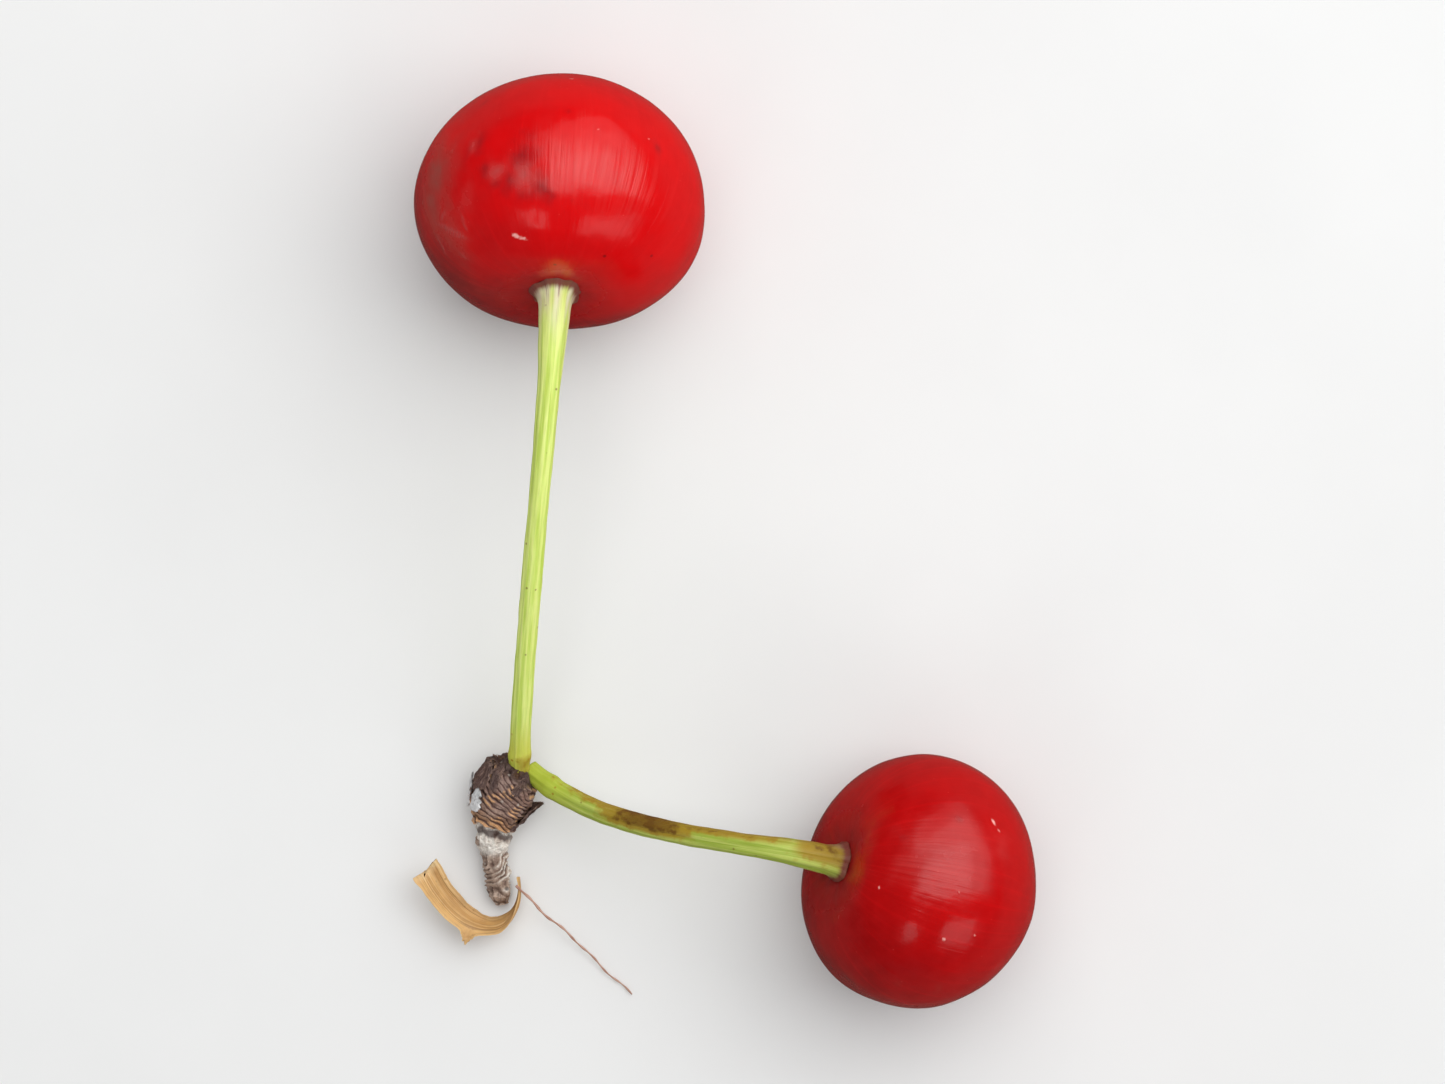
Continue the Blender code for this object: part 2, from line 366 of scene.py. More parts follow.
def between(tree, value, low, high, to_low=0.0, to_high=1.0):
    """Eases a value's range onto another, held at both ends."""
    sockets = {"Value": value, "From Min": low, "From Max": high, "To Min": to_low, "To Max": to_high}
    return put(tree, "ShaderNodeMapRange", sockets, interpolation_type="SMOOTHSTEP").outputs[0]


def painted(tree, layer):
    """A value painted on the piece's own points."""
    return put(tree, "ShaderNodeAttribute", attribute_name=layer).outputs["Fac"]


def lie_of(tree):
    return put(tree, "ShaderNodeAttribute", attribute_name="lie").outputs["Vector"]


def place_of(tree):
    return put(tree, "ShaderNodeTexCoord").outputs["Object"]


def grouped(tree, name, build, sockets):
    """Places a shared group in a material and returns its one output.

    The group is made the first time: its inputs are named after the sockets, and build adds its
    nodes and returns what it puts out.
    """
    group = bpy.data.node_groups.get(name)
    if group is None:
        group = bpy.data.node_groups.new(name, "ShaderNodeTree")
        for label in sockets:
            kind = "NodeSocketVector" if label == "Vector" else "NodeSocketFloat"
            group.interface.new_socket(label, in_out="INPUT", socket_type=kind)
        group.interface.new_socket("Value", in_out="OUTPUT", socket_type="NodeSocketFloat")
        value = build(group, group.nodes.new("NodeGroupInput").outputs)
        group.links.new(value, group.nodes.new("NodeGroupOutput").inputs["Value"])
    return put(tree, "ShaderNodeGroup", sockets, node_tree=group).outputs[0]


def mottle_nodes(group, given):
    """Soft blotches: layered noise eased between two limits."""
    sockets = {"Vector": given["Vector"], "Scale": given["Scale"], "Detail": 4.0, "Roughness": 0.55}
    noise = put(group, "ShaderNodeTexNoise", sockets)
    return between(group, noise.outputs["Fac"], given["Low"], given["High"])


def specks_nodes(group, given):
    """Scattered small round specks: the cells of a point pattern, kept where they are near a
    point and where the cell's own random number is under a share."""
    cells = put(group, "ShaderNodeTexVoronoi", {"Vector": given["Vector"], "Scale": given["Scale"]})
    chance = put(group, "ShaderNodeSeparateColor", {"Color": cells.outputs["Color"]}).outputs["Red"]
    kept = calculate(group, "LESS_THAN", chance, given["Share"])
    reach = calculate(group, "DIVIDE", cells.outputs["Distance"], given["Size"])
    return times(group, between(group, reach, 1.0, 0.35), kept)


def grain_nodes(group, given):
    """Lines that run along a piece: noise read from its own round-and-along place, drawn out."""
    parts = put(group, "ShaderNodeSeparateXYZ", {0: given["Vector"]}).outputs
    sockets = {0: times(group, parts[0], given["Fineness"])}
    sockets[1] = times(group, parts[1], given["Fineness"])
    sockets[2] = times(group, parts[2], given["Along"])
    drawn = put(group, "ShaderNodeCombineXYZ", sockets).outputs[0]
    sockets = {"Vector": drawn, "Scale": 1.0, "Detail": 3.0, "Distortion": given["Wander"]}
    return put(group, "ShaderNodeTexNoise", sockets).outputs["Fac"]


def mottle(tree, vector, size, low=0.35, high=0.65):
    """Blotches of a size in metres."""
    sockets = {"Vector": vector, "Scale": 1 / size, "Low": low, "High": high}
    return grouped(tree, "Mottle", mottle_nodes, sockets)


def specks(tree, vector, spacing, size, share):
    """Specks at about a spacing in metres. Size is a share of the spacing."""
    sockets = {"Vector": vector, "Scale": 1 / spacing, "Size": size, "Share": share}
    return grouped(tree, "Specks", specks_nodes, sockets)


def grain(tree, fineness, along, wander):
    """Lines along a piece, finer across it and shorter along it with larger numbers."""
    sockets = {"Vector": lie_of(tree), "Fineness": fineness, "Along": along, "Wander": wander}
    return grouped(tree, "Grain", grain_nodes, sockets)


def raised(tree, *bumps):
    """Bumps laid one on another, each given by its height, distance in metres and strength."""
    under = {}
    for height, distance, strength in bumps:
        sockets = {"Height": height, "Distance": distance, "Strength": strength, **under}
        under = {"Normal": put(tree, "ShaderNodeBump", sockets).outputs[0]}
    return under["Normal"]


def new_material(name):
    """A material with its node tree and its Principled shader."""
    material = bpy.data.materials.new(name)
    material.use_nodes = True
    tree = material.node_tree
    return material, tree, tree.nodes["Principled BSDF"]


# ---------------------------------------------------------------- cherries


CREASE = 0.014  # depth of the suture, as a share of the radius
CREASE_WIDTH = math.radians(13)
OVAL = 0.012  # how much longer one way across is than the other
WIDENING = 0.035  # how much wider the stalk's end is
DIMPLE, DIMPLE_WIDTH = 0.3 * MM, 1.5 * MM  # at the far end
POLE = 0.004  # how near each pole the first and last rings are, in radians
LUMP, SMALL_LUMP = 0.07, 0.012  # heights in millimetres of the skin's unevenness
PUCKER, PUCKER_AT, PUCKER_WIDTH, PUCKERS = 0.02, 1.9 * MM, 0.9 * MM, 9  # folds round the cavity
HOLLOW_WIDTH = 2.2 * MM


def fruit_axis(sizes):
    """The unit direction of a cherry's stalk end."""
    heading, rise = sizes["heading"], sizes["rise"]
    flat = math.cos(rise)
    return np.array((flat * math.cos(heading), flat * math.sin(heading), math.sin(rise)))


def fruit_turn(sizes):
    """The turn that lays a cherry's own upright axis along its stalk's direction."""
    return np.array(Vector(fruit_axis(sizes)).to_track_quat("Z", "Y").to_matrix())


def fruit_skin(sizes, polar, around):
    """A cherry's skin before it lies down, from the polar angle at its stalk and the angle round.

    radius = a sin(p) (1 + widening cos(p) - suture - oval cos(2r))
    height = c cos(p) - cavity exp(-(radius/width)^2), with a small dimple at the far end.
    """
    from_crease = np.mod(around + np.pi, 2 * np.pi) - np.pi
    crease = CREASE * np.exp(-((from_crease / CREASE_WIDTH) ** 2)) * np.sin(polar)
    oval = OVAL * np.cos(2 * around)
    reach = sizes["radius"] * np.sin(polar) * (1 + WIDENING * np.cos(polar) - crease - oval)
    height = sizes["half_length"] * np.cos(polar)
    cavity = sizes["cavity_depth"] * np.exp(-((reach / sizes["cavity_width"]) ** 2))
    dimple = DIMPLE * np.exp(-((reach / DIMPLE_WIDTH) ** 2))
    height = height + np.where(height > 0, -cavity, dimple)
    return np.stack([reach * np.cos(around), reach * np.sin(around), height], -1)


def fruit_middle(node):
    """Where the middle of a cherry's body lies, found by fitting its plain skin to its box."""
    sizes = FRUITS[node]
    down, around = grid(90, 120)
    points = fruit_skin(sizes, down * np.pi, around) @ fruit_turn(sizes).T
    flat = points.reshape(-1, 3)
    low, high = box_of(node)
    middle = (low + high) / 2 - (flat.min(0) + flat.max(0)) / 2
    middle[2] = high[2] - flat[:, 2].max()
    return middle


def marked(ways, spot, size, stretch=1.0, tilt=0.0, seed=0):
    """How strongly a mark shows: 1 at its middle, fading to 0 over its size, a little uneven.

    The mark's middle is its plan offset from the cherry's middle, as a share of the radius, on
    the side that faces up. The tilt turns its long way in plan.
    """
    x, y = spot
    middle = np.array((x, y, math.sqrt(max(0.0, 1 - x * x - y * y))))
    along = np.array((math.cos(tilt), math.sin(tilt), 0.0))
    along -= middle * (along @ middle)
    along /= np.linalg.norm(along)
    beside = np.cross(middle, along)
    away = ways - middle
    reach = np.sqrt((away @ along / stretch) ** 2 + (away @ beside) ** 2 + (away @ middle) ** 2)
    reach = reach * (1 + 0.28 * uneven(ways, 1.6 * size + 0.03, seed, 2))
    return np.exp(-((reach / size) ** 2))


def make_cherry(node, marks, deepening, settings):
    """One cherry: its smooth skin with soft lumps, dents under its bruises, and its flat spot."""
    sizes = FRUITS[node]
    down, around = grid(settings.rows, settings.columns)
    polar = POLE + (np.pi - 2 * POLE) * down
    plain = fruit_skin(sizes, polar, around)
    turned = plain @ fruit_turn(sizes).T
    ways = turned / np.linalg.norm(turned, axis=-1, keepdims=True)
    reach = np.hypot(plain[..., 0], plain[..., 1])
    stalk_side = polar < 1.2
    lumps = LUMP * uneven(ways, 1.3, 31, 2) + SMALL_LUMP * uneven(ways, 0.42, 32, 2)
    puckers = PUCKER * np.exp(-(((reach - PUCKER_AT) / PUCKER_WIDTH) ** 2)) * stalk_side
    puckers = puckers * np.cos(PUCKERS * around + 2.5 * uneven(ways, 0.9, 33))
    outward = (lumps + puckers - layered(ways, marks["dents"])) * MM
    points = turned + ways * outward[..., None] + fruit_middle(node)
    points = kept_above(points, box_of(node)[0][2])
    paint = {layer: layered(ways, marks[layer]) for layer in SKIN_MARKS}
    paint["lie"] = lie(polar * sizes["radius"], around)
    # Darker towards the lower left and the underside: partly the skin's own tone, partly painted shade.
    paint["deep"] = deepening(ways)
    # The hollow's mask: its darker colour is painted shade in the cavity, and it also roughens the skin
    # there.
    paint["hollow"] = np.exp(-((reach / HOLLOW_WIDTH) ** 2)) * stalk_side
    return skin_piece(node + "_skin", [(points, paint)])


def layered(ways, marks):
    """The strongest of several marks at each point."""
    total = np.zeros(ways.shape[:-1])
    for seed, (spot, size, strength, stretch, tilt) in enumerate(marks):
        one = marked(ways, spot, size, stretch, math.radians(tilt), 50 + seed)
        total = np.maximum(total, strength * one)
    return total


# Each mark: place in plan as a share of the radius, size, strength, stretch, and tilt in degrees.
# A dent's strength is its depth in millimetres.
UPPER_MARKS = {
    "dents": [
        ((-0.2, 0.13), 0.12, 0.08, 1.4, 110),
        ((-0.44, 0.18), 0.06, 0.05, 1.0, 0),
        ((-0.55, 0.33), 0.06, 0.03, 1.6, 80),
        ((-0.84, 0.02), 0.2, 0.1, 1.6, 85),
        ((-0.28, -0.31), 0.05, 0.03, 1.8, -15),
    ],
    "dark": [
        ((-0.1, 0.04), 0.06, 1.0, 1.7, 110),
        ((-0.225, 0.27), 0.085, 0.95, 1.2, 60),
        ((-0.33, 0.09), 0.05, 0.8, 1.6, 80),
        ((-0.2, 0.0), 0.055, 0.6, 1.6, 0),
        ((-0.49, 0.17), 0.035, 0.8, 1.7, 80),
        ((-0.41, 0.08), 0.035, 0.6, 2.0, 0),
        ((-0.53, 0.35), 0.04, 0.6, 2.2, 75),
        ((-0.6, 0.3), 0.03, 0.5, 2.4, 80),
        ((0.66, 0.33), 0.035, 0.7, 1.3, 90),
        ((0.07, 0.56), 0.02, 0.6, 1.0, 0),
        ((-0.52, 0.66), 0.03, 0.4, 1.4, 40),
    ],
    "pale": [
        ((-0.21, 0.125), 0.075, 0.8, 1.35, -20),
        ((-0.42, 0.155), 0.052, 0.85, 1.1, 0),
        ((-0.57, 0.34), 0.025, 0.6, 2.0, 80),
        ((-0.62, -0.02), 0.06, 0.2, 1.8, 60),
    ],
    "scar": [
        ((-0.31, -0.295), 0.016, 1.0, 2.6, -24),
        ((-0.25, -0.315), 0.013, 0.9, 2.4, -8),
        ((0.27, 0.44), 0.011, 0.55, 1.5, 70),
        ((0.6, 0.39), 0.012, 0.6, 1.2, 0),
        ((0.09, 0.86), 0.01, 0.6, 2.2, -10),
    ],
    # Greyish worn patches on the left; the last, along the lower left rim, is a painted reflection.
    "dull": [
        ((-0.84, 0.16), 0.13, 1.0, 1.6, 70),
        ((-0.88, -0.06), 0.12, 0.9, 1.6, 85),
        ((-0.77, -0.27), 0.15, 0.5, 1.2, 60),
        ((-0.62, -0.72), 0.16, 0.15, 1.8, -45),
    ],
    "wrinkle": [
        ((-0.77, -0.22), 0.013, 1.0, 9.0, -3),
        ((-0.72, -0.27), 0.012, 0.8, 8.0, 2),
        ((-0.84, -0.33), 0.012, 0.9, 6.5, 95),
        ((-0.66, -0.18), 0.011, 0.7, 5.0, 100),
        ((-0.8, -0.12), 0.011, 0.7, 5.0, 20),
        ((-0.7, -0.42), 0.011, 0.5, 5.0, -35),
    ],
    # Lined marks sit where the key light's highlight falls: their fine lines are bumps, and their pale
    # streaks a painted highlight.
    "lined": [((0.12, 0.2), 0.15, 1.0, 1.7, -5), ((0.46, 0.13), 0.16, 1.0, 1.6, -25)],
}
LOWER_MARKS = {
    "dents": [((-0.25, 0.0), 0.16, 0.05, 1.5, 0), ((0.02, -0.12), 0.11, 0.06, 1.0, 0)],
    "dark": [
        ((-0.1, -0.6), 0.1, 0.25, 2.2, 10),
        ((-0.5, 0.45), 0.09, 0.3, 1.6, 40),
        ((0.28, 0.52), 0.025, 0.6, 1.3, 0),
        ((-0.15, 0.4), 0.03, 0.4, 1.5, 0),
    ],
    # Pale patches where the key light's highlight falls: partly pale bloom, partly a painted highlight.
    "pale": [
        ((0.18, 0.28), 0.22, 0.26, 1.5, 20),
        ((0.32, 0.04), 0.1, 0.2, 1.6, -20),
        ((0.0, 0.1), 0.1, 0.16, 1.5, 0),
    ],
    "scar": [
        ((0.55, 0.49), 0.014, 0.9, 2.6, -62),
        ((0.59, 0.43), 0.011, 0.6, 2.2, -30),
        ((-0.36, 0.0), 0.012, 0.8, 1.5, 30),
        ((0.16, -0.38), 0.014, 0.9, 1.3, 0),
        ((0.4, -0.36), 0.01, 0.7, 1.2, 0),
        ((0.27, -0.03), 0.009, 0.5, 2.0, 30),
    ],
    # Greyish marks along the bottom rim: a painted reflection.
    "dull": [((-0.15, -0.97), 0.15, 0.8, 3.6, 0), ((0.5, -0.84), 0.1, 0.5, 2.4, 30)],
    "wrinkle": [((-0.12, -0.93), 0.012, 0.4, 9.0, -3)],
    # Lined where the highlight falls: the pale streaks are a painted highlight.
    "lined": [((0.1, 0.2), 0.2, 0.5, 1.4, 0)],
}
SKIN_MARKS = ("dark", "pale", "scar", "dull", "wrinkle", "lined")


def upper_tone_and_shade(ways):
    """Deeper colour towards the lower left and the underside: partly the skin's own darker red, partly
    painted shade on the sides turned from the lights.
    """
    slope = -0.5 * ways[..., 0] - 0.62 * ways[..., 1] - 0.5 * ways[..., 2]
    return ease(slope + 0.1 * uneven(ways, 0.9, 61), -0.3, 0.95)


def lower_tone_and_shade(ways):
    """Deep colour nearly all over, brighter on the side away from the stalk. Darker towards the lower left
    and the underside, partly painted shade.
    """
    slope = -0.45 * ways[..., 0] - 0.35 * ways[..., 1] - 0.5 * ways[..., 2]
    return ease(slope + 0.12 * uneven(ways, 0.9, 62), -0.7, 0.9)


def cherry_finish(name, bright, deep, settings):
    """Taut glossy skin: two reds, bruises, dull patches, pale scars, specks and fine long lines.

    The deeper red is partly painted shade, the hollow round the stalk has painted shade, and some pale
    patches, dull patches and pale streaks are painted highlights and reflections.
    """
    material, tree, shader = new_material(name)
    place = place_of(tree)
    clouds = mottle(tree, place, 3.4 * MM, 0.3, 0.7)
    fine_clouds = mottle(tree, place, 0.9 * MM, 0.3, 0.75)
    lines = grain(tree, 28.0, 0.1, 0.25)
    # The painted deep value darkens the skin: partly its own deeper red, partly painted shade.
    depth = scaled(tree, clouds, 0.14, painted(tree, "deep"), True)
    colour = blend(tree, depth, bright, deep)
    colour = overlaid(tree, colour, fine_clouds, 0.1, settings.lighter)
    colour = blend(tree, between(tree, lines, 0.5, 0.72, 0.0, 0.14), colour, settings.lighter)
    # Pale streaks in the lined marks, in the scar colour: a painted highlight.
    lined = painted(tree, "lined")
    streaks = times(tree, lined, between(tree, lines, 0.42, 0.62))
    colour = overlaid(tree, colour, streaks, 0.07, settings.scar)
    bruise, pale = painted(tree, "dark"), painted(tree, "pale")
    speckled = between(tree, fine_clouds, 0.0, 1.0, 0.5, 0.8)
    colour = overlaid(tree, colour, bruise, speckled, settings.bruise_rim)
    # Pale marks: bruise middles, and on the deeper cherry a painted highlight over pale bloom.
    colour = overlaid(tree, colour, pale, speckled, settings.bruise_middle_and_sheen)
    # Dull patches: greyish worn skin, and along the lower rims a painted reflection.
    dull = painted(tree, "dull")
    broken = times(tree, dull, between(tree, fine_clouds, 0.0, 1.0, 0.65, 1.0))
    colour = overlaid(tree, colour, broken, 0.8, settings.dull_patch_and_reflection)
    wrinkle = painted(tree, "wrinkle")
    colour = overlaid(tree, colour, wrinkle, 0.6, settings.bruise_middle_and_sheen)
    freckles = specks(tree, place, 0.7 * MM, 0.09, 0.45)
    colour = overlaid(tree, colour, freckles, 0.22, settings.freckle)
    pits = specks(tree, place, 2.7 * MM, 0.06, 0.4)
    colour = overlaid(tree, colour, pits, 0.6, settings.pit)
    # Darker in the cavity round the stalk: painted shade in the hollow.
    hollow = painted(tree, "hollow")
    colour = overlaid(tree, colour, hollow, 0.4, settings.hollow)
    scar = painted(tree, "scar")
    colour = blend(tree, between(tree, scar, 0.2, 0.75), colour, settings.scar)

    roughness = between(tree, clouds, 0.0, 1.0, settings.gloss, settings.gloss + 0.05)
    for worn, rise in ((dull, 0.16), (pale, 0.1), (fine_clouds, 0.03), (hollow, 0.45)):
        roughness = scaled(tree, worn, rise, roughness)
    dimples = put(tree, "ShaderNodeTexNoise", {"Vector": place, "Scale": 1 / (0.5 * MM), "Detail": 2.0})
    soft = put(tree, "ShaderNodeTexNoise", {"Vector": place, "Scale": 1 / (2.2 * MM), "Detail": 1.0})
    shown = scaled(tree, lined, 1.7, 0.2)
    normal = raised(
        tree,
        (soft.outputs["Fac"], 0.1 * MM, 1.0),
        (times(tree, lines, shown), 0.075 * MM, 1.0),
        (dimples.outputs["Fac"], 0.01 * MM, 1.0),
        (wrinkle, 0.05 * MM, 1.0),
        (scar, 0.03 * MM, 1.0),
        (pits, 0.02 * MM, -0.8),
    )
    connect(tree, shader, {
        "Base Color": colour,
        "Roughness": roughness,
        "Normal": normal,
        "Subsurface Weight": 0.2,
        "Subsurface Radius": (1.0, 0.15, 0.1),
        "Subsurface Scale": 0.9 * MM,
        "Coat Weight": between(tree, hollow, 0.0, 0.5, 0.15, 0.0),
        "Coat Roughness": 0.06,
        "IOR": 1.4,
    })
    return material


class CherrySettings(bpy.types.PropertyGroup):
    """Colours and gloss of the two fruits."""

    bright: tint("Bright red", "Skin of the brighter cherry", (0.7, 0.0004, 0.0016))
    # Each shade colour fills a cherry's deeper side: partly its own darker red, partly painted shade.
    bright_deep: tint("Bright red's shade", "Its deeper side", (0.22, 0.0004, 0.002))
    deep: tint("Deep red", "Skin of the deeper cherry", (0.5, 0.0004, 0.001))
    deep_deep: tint("Deep red's shade", "Its darker side", (0.2, 0.0003, 0.001))
    lighter: tint("Lighter red", "Fine lighter mottling", (0.85, 0.004, 0.006))
    bruise_rim: tint("Bruise rim", "Round a bruise", (0.22, 0.01, 0.014))
    # Its colour also whitens the deeper cherry's highlight: a painted highlight.
    bruise_middle_and_sheen: tint("Bruise", "Middle of a bruise", (0.5, 0.1, 0.095))
    # Also paints the greyish reflection along the lower rims.
    dull_patch_and_reflection: tint("Dull patch", "Greyish worn skin", (0.3, 0.075, 0.055))
    # Painted shade in the cavity round the stalk.
    hollow: tint("Hollow", "Skin round the stalk", (0.2, 0.01, 0.008))
    freckle: tint("Freckles", "Tiny lighter dots", (0.9, 0.1, 0.08))
    pit: tint("Pits", "Sparse dark dots", (0.09, 0.003, 0.006))
    scar: tint("Scar", "Small dry scars", (0.95, 0.45, 0.4))
    gloss: amount("Roughness", "Lowest roughness of the skin", 0.19, min=0.05, max=1, subtype="FACTOR")
    rows: IntProperty(
        name="Rows", description="Rings from the stalk to the tip", default=170, min=20, max=300
    )
    columns: IntProperty(
        name="Columns", description="Points round each ring", default=280, min=20, max=320
    )


class CHERRY_OT_fruits(bpy.types.Operator):
    """Makes the bright and the deep cherry"""

    bl_idname = "cherry_pair.fruits"
    bl_label = "Cherries"

    def execute(self, context):
        settings = context.scene.cherry_fruits
        bright = cherry_finish("bright cherry skin", settings.bright, settings.bright_deep, settings)
        piece = make_cherry("upper_cherry", UPPER_MARKS, upper_tone_and_shade, settings)
        settle(piece, "upper_cherry", bright)
        deep = cherry_finish("deep cherry skin", settings.deep, settings.deep_deep, settings)
        piece = make_cherry("lower_cherry", LOWER_MARKS, lower_tone_and_shade, settings)
        settle(piece, "lower_cherry", deep)
        return {"FINISHED"}


# ---------------------------------------------------------------- stalks


def stalk_route(stalk):
    """The stalk's curve from its flare to its base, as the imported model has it."""
    sizes = FRUITS[stalk["fruit"]]
    axis = fruit_axis(sizes)
    start_height = sizes["half_length"] - sizes["cavity_depth"] + STALK_CLEARANCE
    start = fruit_middle(stalk["fruit"]) + axis * start_height
    return np.array([start, start + axis * stalk["leaving"], stalk["arriving"], stalk["base"]])


def make_stalk(name, seed):
    """A stalk with long shallow ridges. Its flared end sits down in the cavity, and its base
    runs on between the bud scales.

    radius = r + swelling exp(-(s/l)^2) + rim exp(-e/m), with s the length from the flare and e
    the length from the very end. The rim is wavy and torn.
    """
    stalk = STALKS[name]
    route = stalk_route(stalk)
    down, around = grid(300, 72)
    sunk = STALK_SINKING / (3 * stalk["leaving"])
    share = -sunk + (1 + sunk + STALK_RUN_ON) * down**1.4
    run = length_along(route, share) + np.minimum(share, 0) * stalk["leaving"] * 3
    from_end = run - run.min()
    total = run.max()
    place = lie(run, around)
    torn = uneven(place * np.array((1.0, 1.0, 0.0)) + seed, 1.1, seed, 3)
    flare = np.exp(-from_end / RIM_WIDTH)
    radius = stalk["radius"] + stalk["swelling"] * np.exp(-((run / stalk["swelling_length"]) ** 2))
    radius = radius + stalk["rim"] * flare * (1.15 + 0.3 * torn)
    twist = around + 0.5 * run / total
    ridges = 0.022 * np.cos(5 * twist + seed) + 0.018 * np.cos(8 * twist + 2 * seed)
    ridges = ridges + 0.01 * np.cos(13 * twist)
    bumps = 0.03 * uneven(place * np.array((0.5, 0.5, 0.3)), 1.0, seed)
    knuckle = KNUCKLE * np.exp(-(((total - run - KNUCKLE_AT) / KNUCKLE_WIDTH) ** 2))
    radius = radius * (1 + ridges + bumps) + knuckle
    radius = radius * (0.93 + 0.07 * np.clip(from_end / RIM_EDGE, 0, 1))
    points = carried(route, share, radius * np.cos(around), radius * np.sin(around))
    paint = {"lie": place, "flare": flare, "base": ease(run, total - 4.6 * MM, total - 0.8 * MM)}
    patchy = uneven(place * np.array((1.6, 1.6, 0.2)), 1.0, 44, 2)
    paint["dried"] = stalk["dryness"] * np.exp(-from_end / (2.7 * MM)) * (0.65 + 0.35 * patchy)
    paint["side"] = np.cos(around) ** 2 * np.exp(-from_end / (1.3 * MM))
    paint["stain"] = stalk_stain(name, run, total, around)
    return skin_piece(name + "_green", [(points, paint)])


def stalk_stain(name, run, total, around):
    """Brown rubs along a stalk: one on top of the shorter stalk, one by its flare and a fainter
    one all along its far edge, and a short one at the base of the other.

    Each is height exp(-((s - middle)/length)^4), on the side that it faces.
    """
    rubs = [(total - 0.5 * MM, 0.9 * MM, 0.5, 0.6, 0.35)]
    if name == "lower_stalk":
        rubs = [(total - 9.2 * MM, 3.6 * MM, 1.0, 2.3, 0.35), (0.5 * MM, 2.6 * MM, 0.8, 2.5, 0.35)]
        rubs.append((total - 11 * MM, 9 * MM, 0.75, 2.95, 0.6))
    stain = np.zeros_like(run)
    for middle, length, height, side, narrow in rubs:
        facing = 0.5 + 0.5 * np.cos(around - side)
        lengthwise = np.exp(-(((run - middle) / length) ** 4))
        stain = np.maximum(stain, height * lengthwise * ease(facing, narrow, 0.95))
    return stain


def stalk_finish(name, fresh, pale, aged, settings):
    """Fresh green skin with long pale lines, small brown flecks, a browned flare and aged base."""
    material, tree, shader = new_material(name)
    place = place_of(tree)
    lines = grain(tree, 3.2, 0.16, 0.3)
    fine_lines = grain(tree, 9.0, 0.4, 0.2)
    colour = blend(tree, between(tree, lines, 0.36, 0.66), fresh, pale)
    colour = blend(tree, between(tree, fine_lines, 0.5, 0.72, 0, 0.5), colour, pale)
    colour = blend(tree, between(tree, fine_lines, 0.45, 0.28, 0, 0.35), colour, settings.line)
    base = painted(tree, "base")
    colour = overlaid(tree, colour, base, 0.75, aged)
    flecks = specks(tree, place, 0.7 * MM, 0.16, 0.3)
    colour = overlaid(tree, colour, flecks, 0.7, settings.fleck)
    dots = times(tree, specks(tree, place, 0.55 * MM, 0.24, 0.6), base)
    colour = overlaid(tree, colour, dots, 0.9, settings.rub)
    blotches = mottle(tree, place, 0.7 * MM, 0.45, 0.7)
    stain = painted(tree, "stain")
    spread = scaled(tree, blotches, 0.25, stain)
    colour = blend(tree, between(tree, spread, 0.2, 0.7, 0, 0.85), colour, settings.rub)
    colour = blend(tree, between(tree, spread, 0.72, 1.1, 0, 0.85), colour, settings.stain)
    dried = painted(tree, "dried")
    pale_share = between(tree, dried, 0.1, 0.75, 0, 0.85)
    colour = blend(tree, pale_share, colour, settings.dry)
    streak = times(tree, between(tree, dried, 0.2, 0.8), between(tree, fine_lines, 0.5, 0.62))
    streak = calculate(tree, "MAXIMUM", streak, between(tree, painted(tree, "side"), 0.25, 0.8))
    colour = overlaid(tree, colour, streak, 0.75, settings.streak)
    flare = painted(tree, "flare")
    uneven_flare = scaled(tree, fine_lines, 0.4, flare)
    colour = blend(tree, between(tree, uneven_flare, 0.38, 0.74, 0, 0.95), colour, settings.flare)
    colour = blend(tree, between(tree, flare, 0.86, 0.97, 0, 0.3), colour, settings.streak)
    normal = raised(tree, (lines, 0.05 * MM, 1.0), (fine_lines, 0.035 * MM, 1.0), (flecks, 0.02 * MM, 0.6))
    roughness = between(tree, fine_lines, 0.3, 0.7, 0.34, 0.5)
    connect(tree, shader, {
        "Base Color": colour,
        "Roughness": roughness,
        "Normal": normal,
        "Subsurface Weight": 0.15,
        "Subsurface Radius": (0.6, 1.0, 0.2),
        "Subsurface Scale": 0.3 * MM,
        "Specular IOR Level": 0.3,
    })
    return material


class StalkSettings(bpy.types.PropertyGroup):
    """Colours of the two stalks."""

    fresh: tint("Fresh green", "The longer stalk", (0.53, 0.69, 0.1))
    fresh_pale: tint("Pale green", "Its raised lines", (0.78, 0.88, 0.26))
    fresh_aged: tint("Yellowed green", "Its base", (0.62, 0.6, 0.07))
    dull: tint("Dull green", "The shorter stalk", (0.32, 0.42, 0.045))
    dull_pale: tint("Dull pale green", "Its raised lines", (0.5, 0.58, 0.12))
    dull_aged: tint("Dull yellowed green", "Its base", (0.44, 0.52, 0.04))
    line: tint("Dark lines", "Furrows along a stalk", (0.28, 0.42, 0.05))
    fleck: tint("Flecks", "Small brown flecks", (0.2, 0.12, 0.02))
    stain: tint("Stain", "Rubbed brown patch", (0.12, 0.04, 0.003))
    rub: tint("Rub", "Lighter brown round the stain", (0.36, 0.2, 0.01))
    dry: tint("Dry end", "Whitish end by the cherry", (0.86, 0.82, 0.6))
    streak: tint("Streaks", "Brown streaks by the cherry", (0.34, 0.19, 0.14))
    flare: tint("Flare", "Browned rim in the cherry", (0.2, 0.04, 0.03))


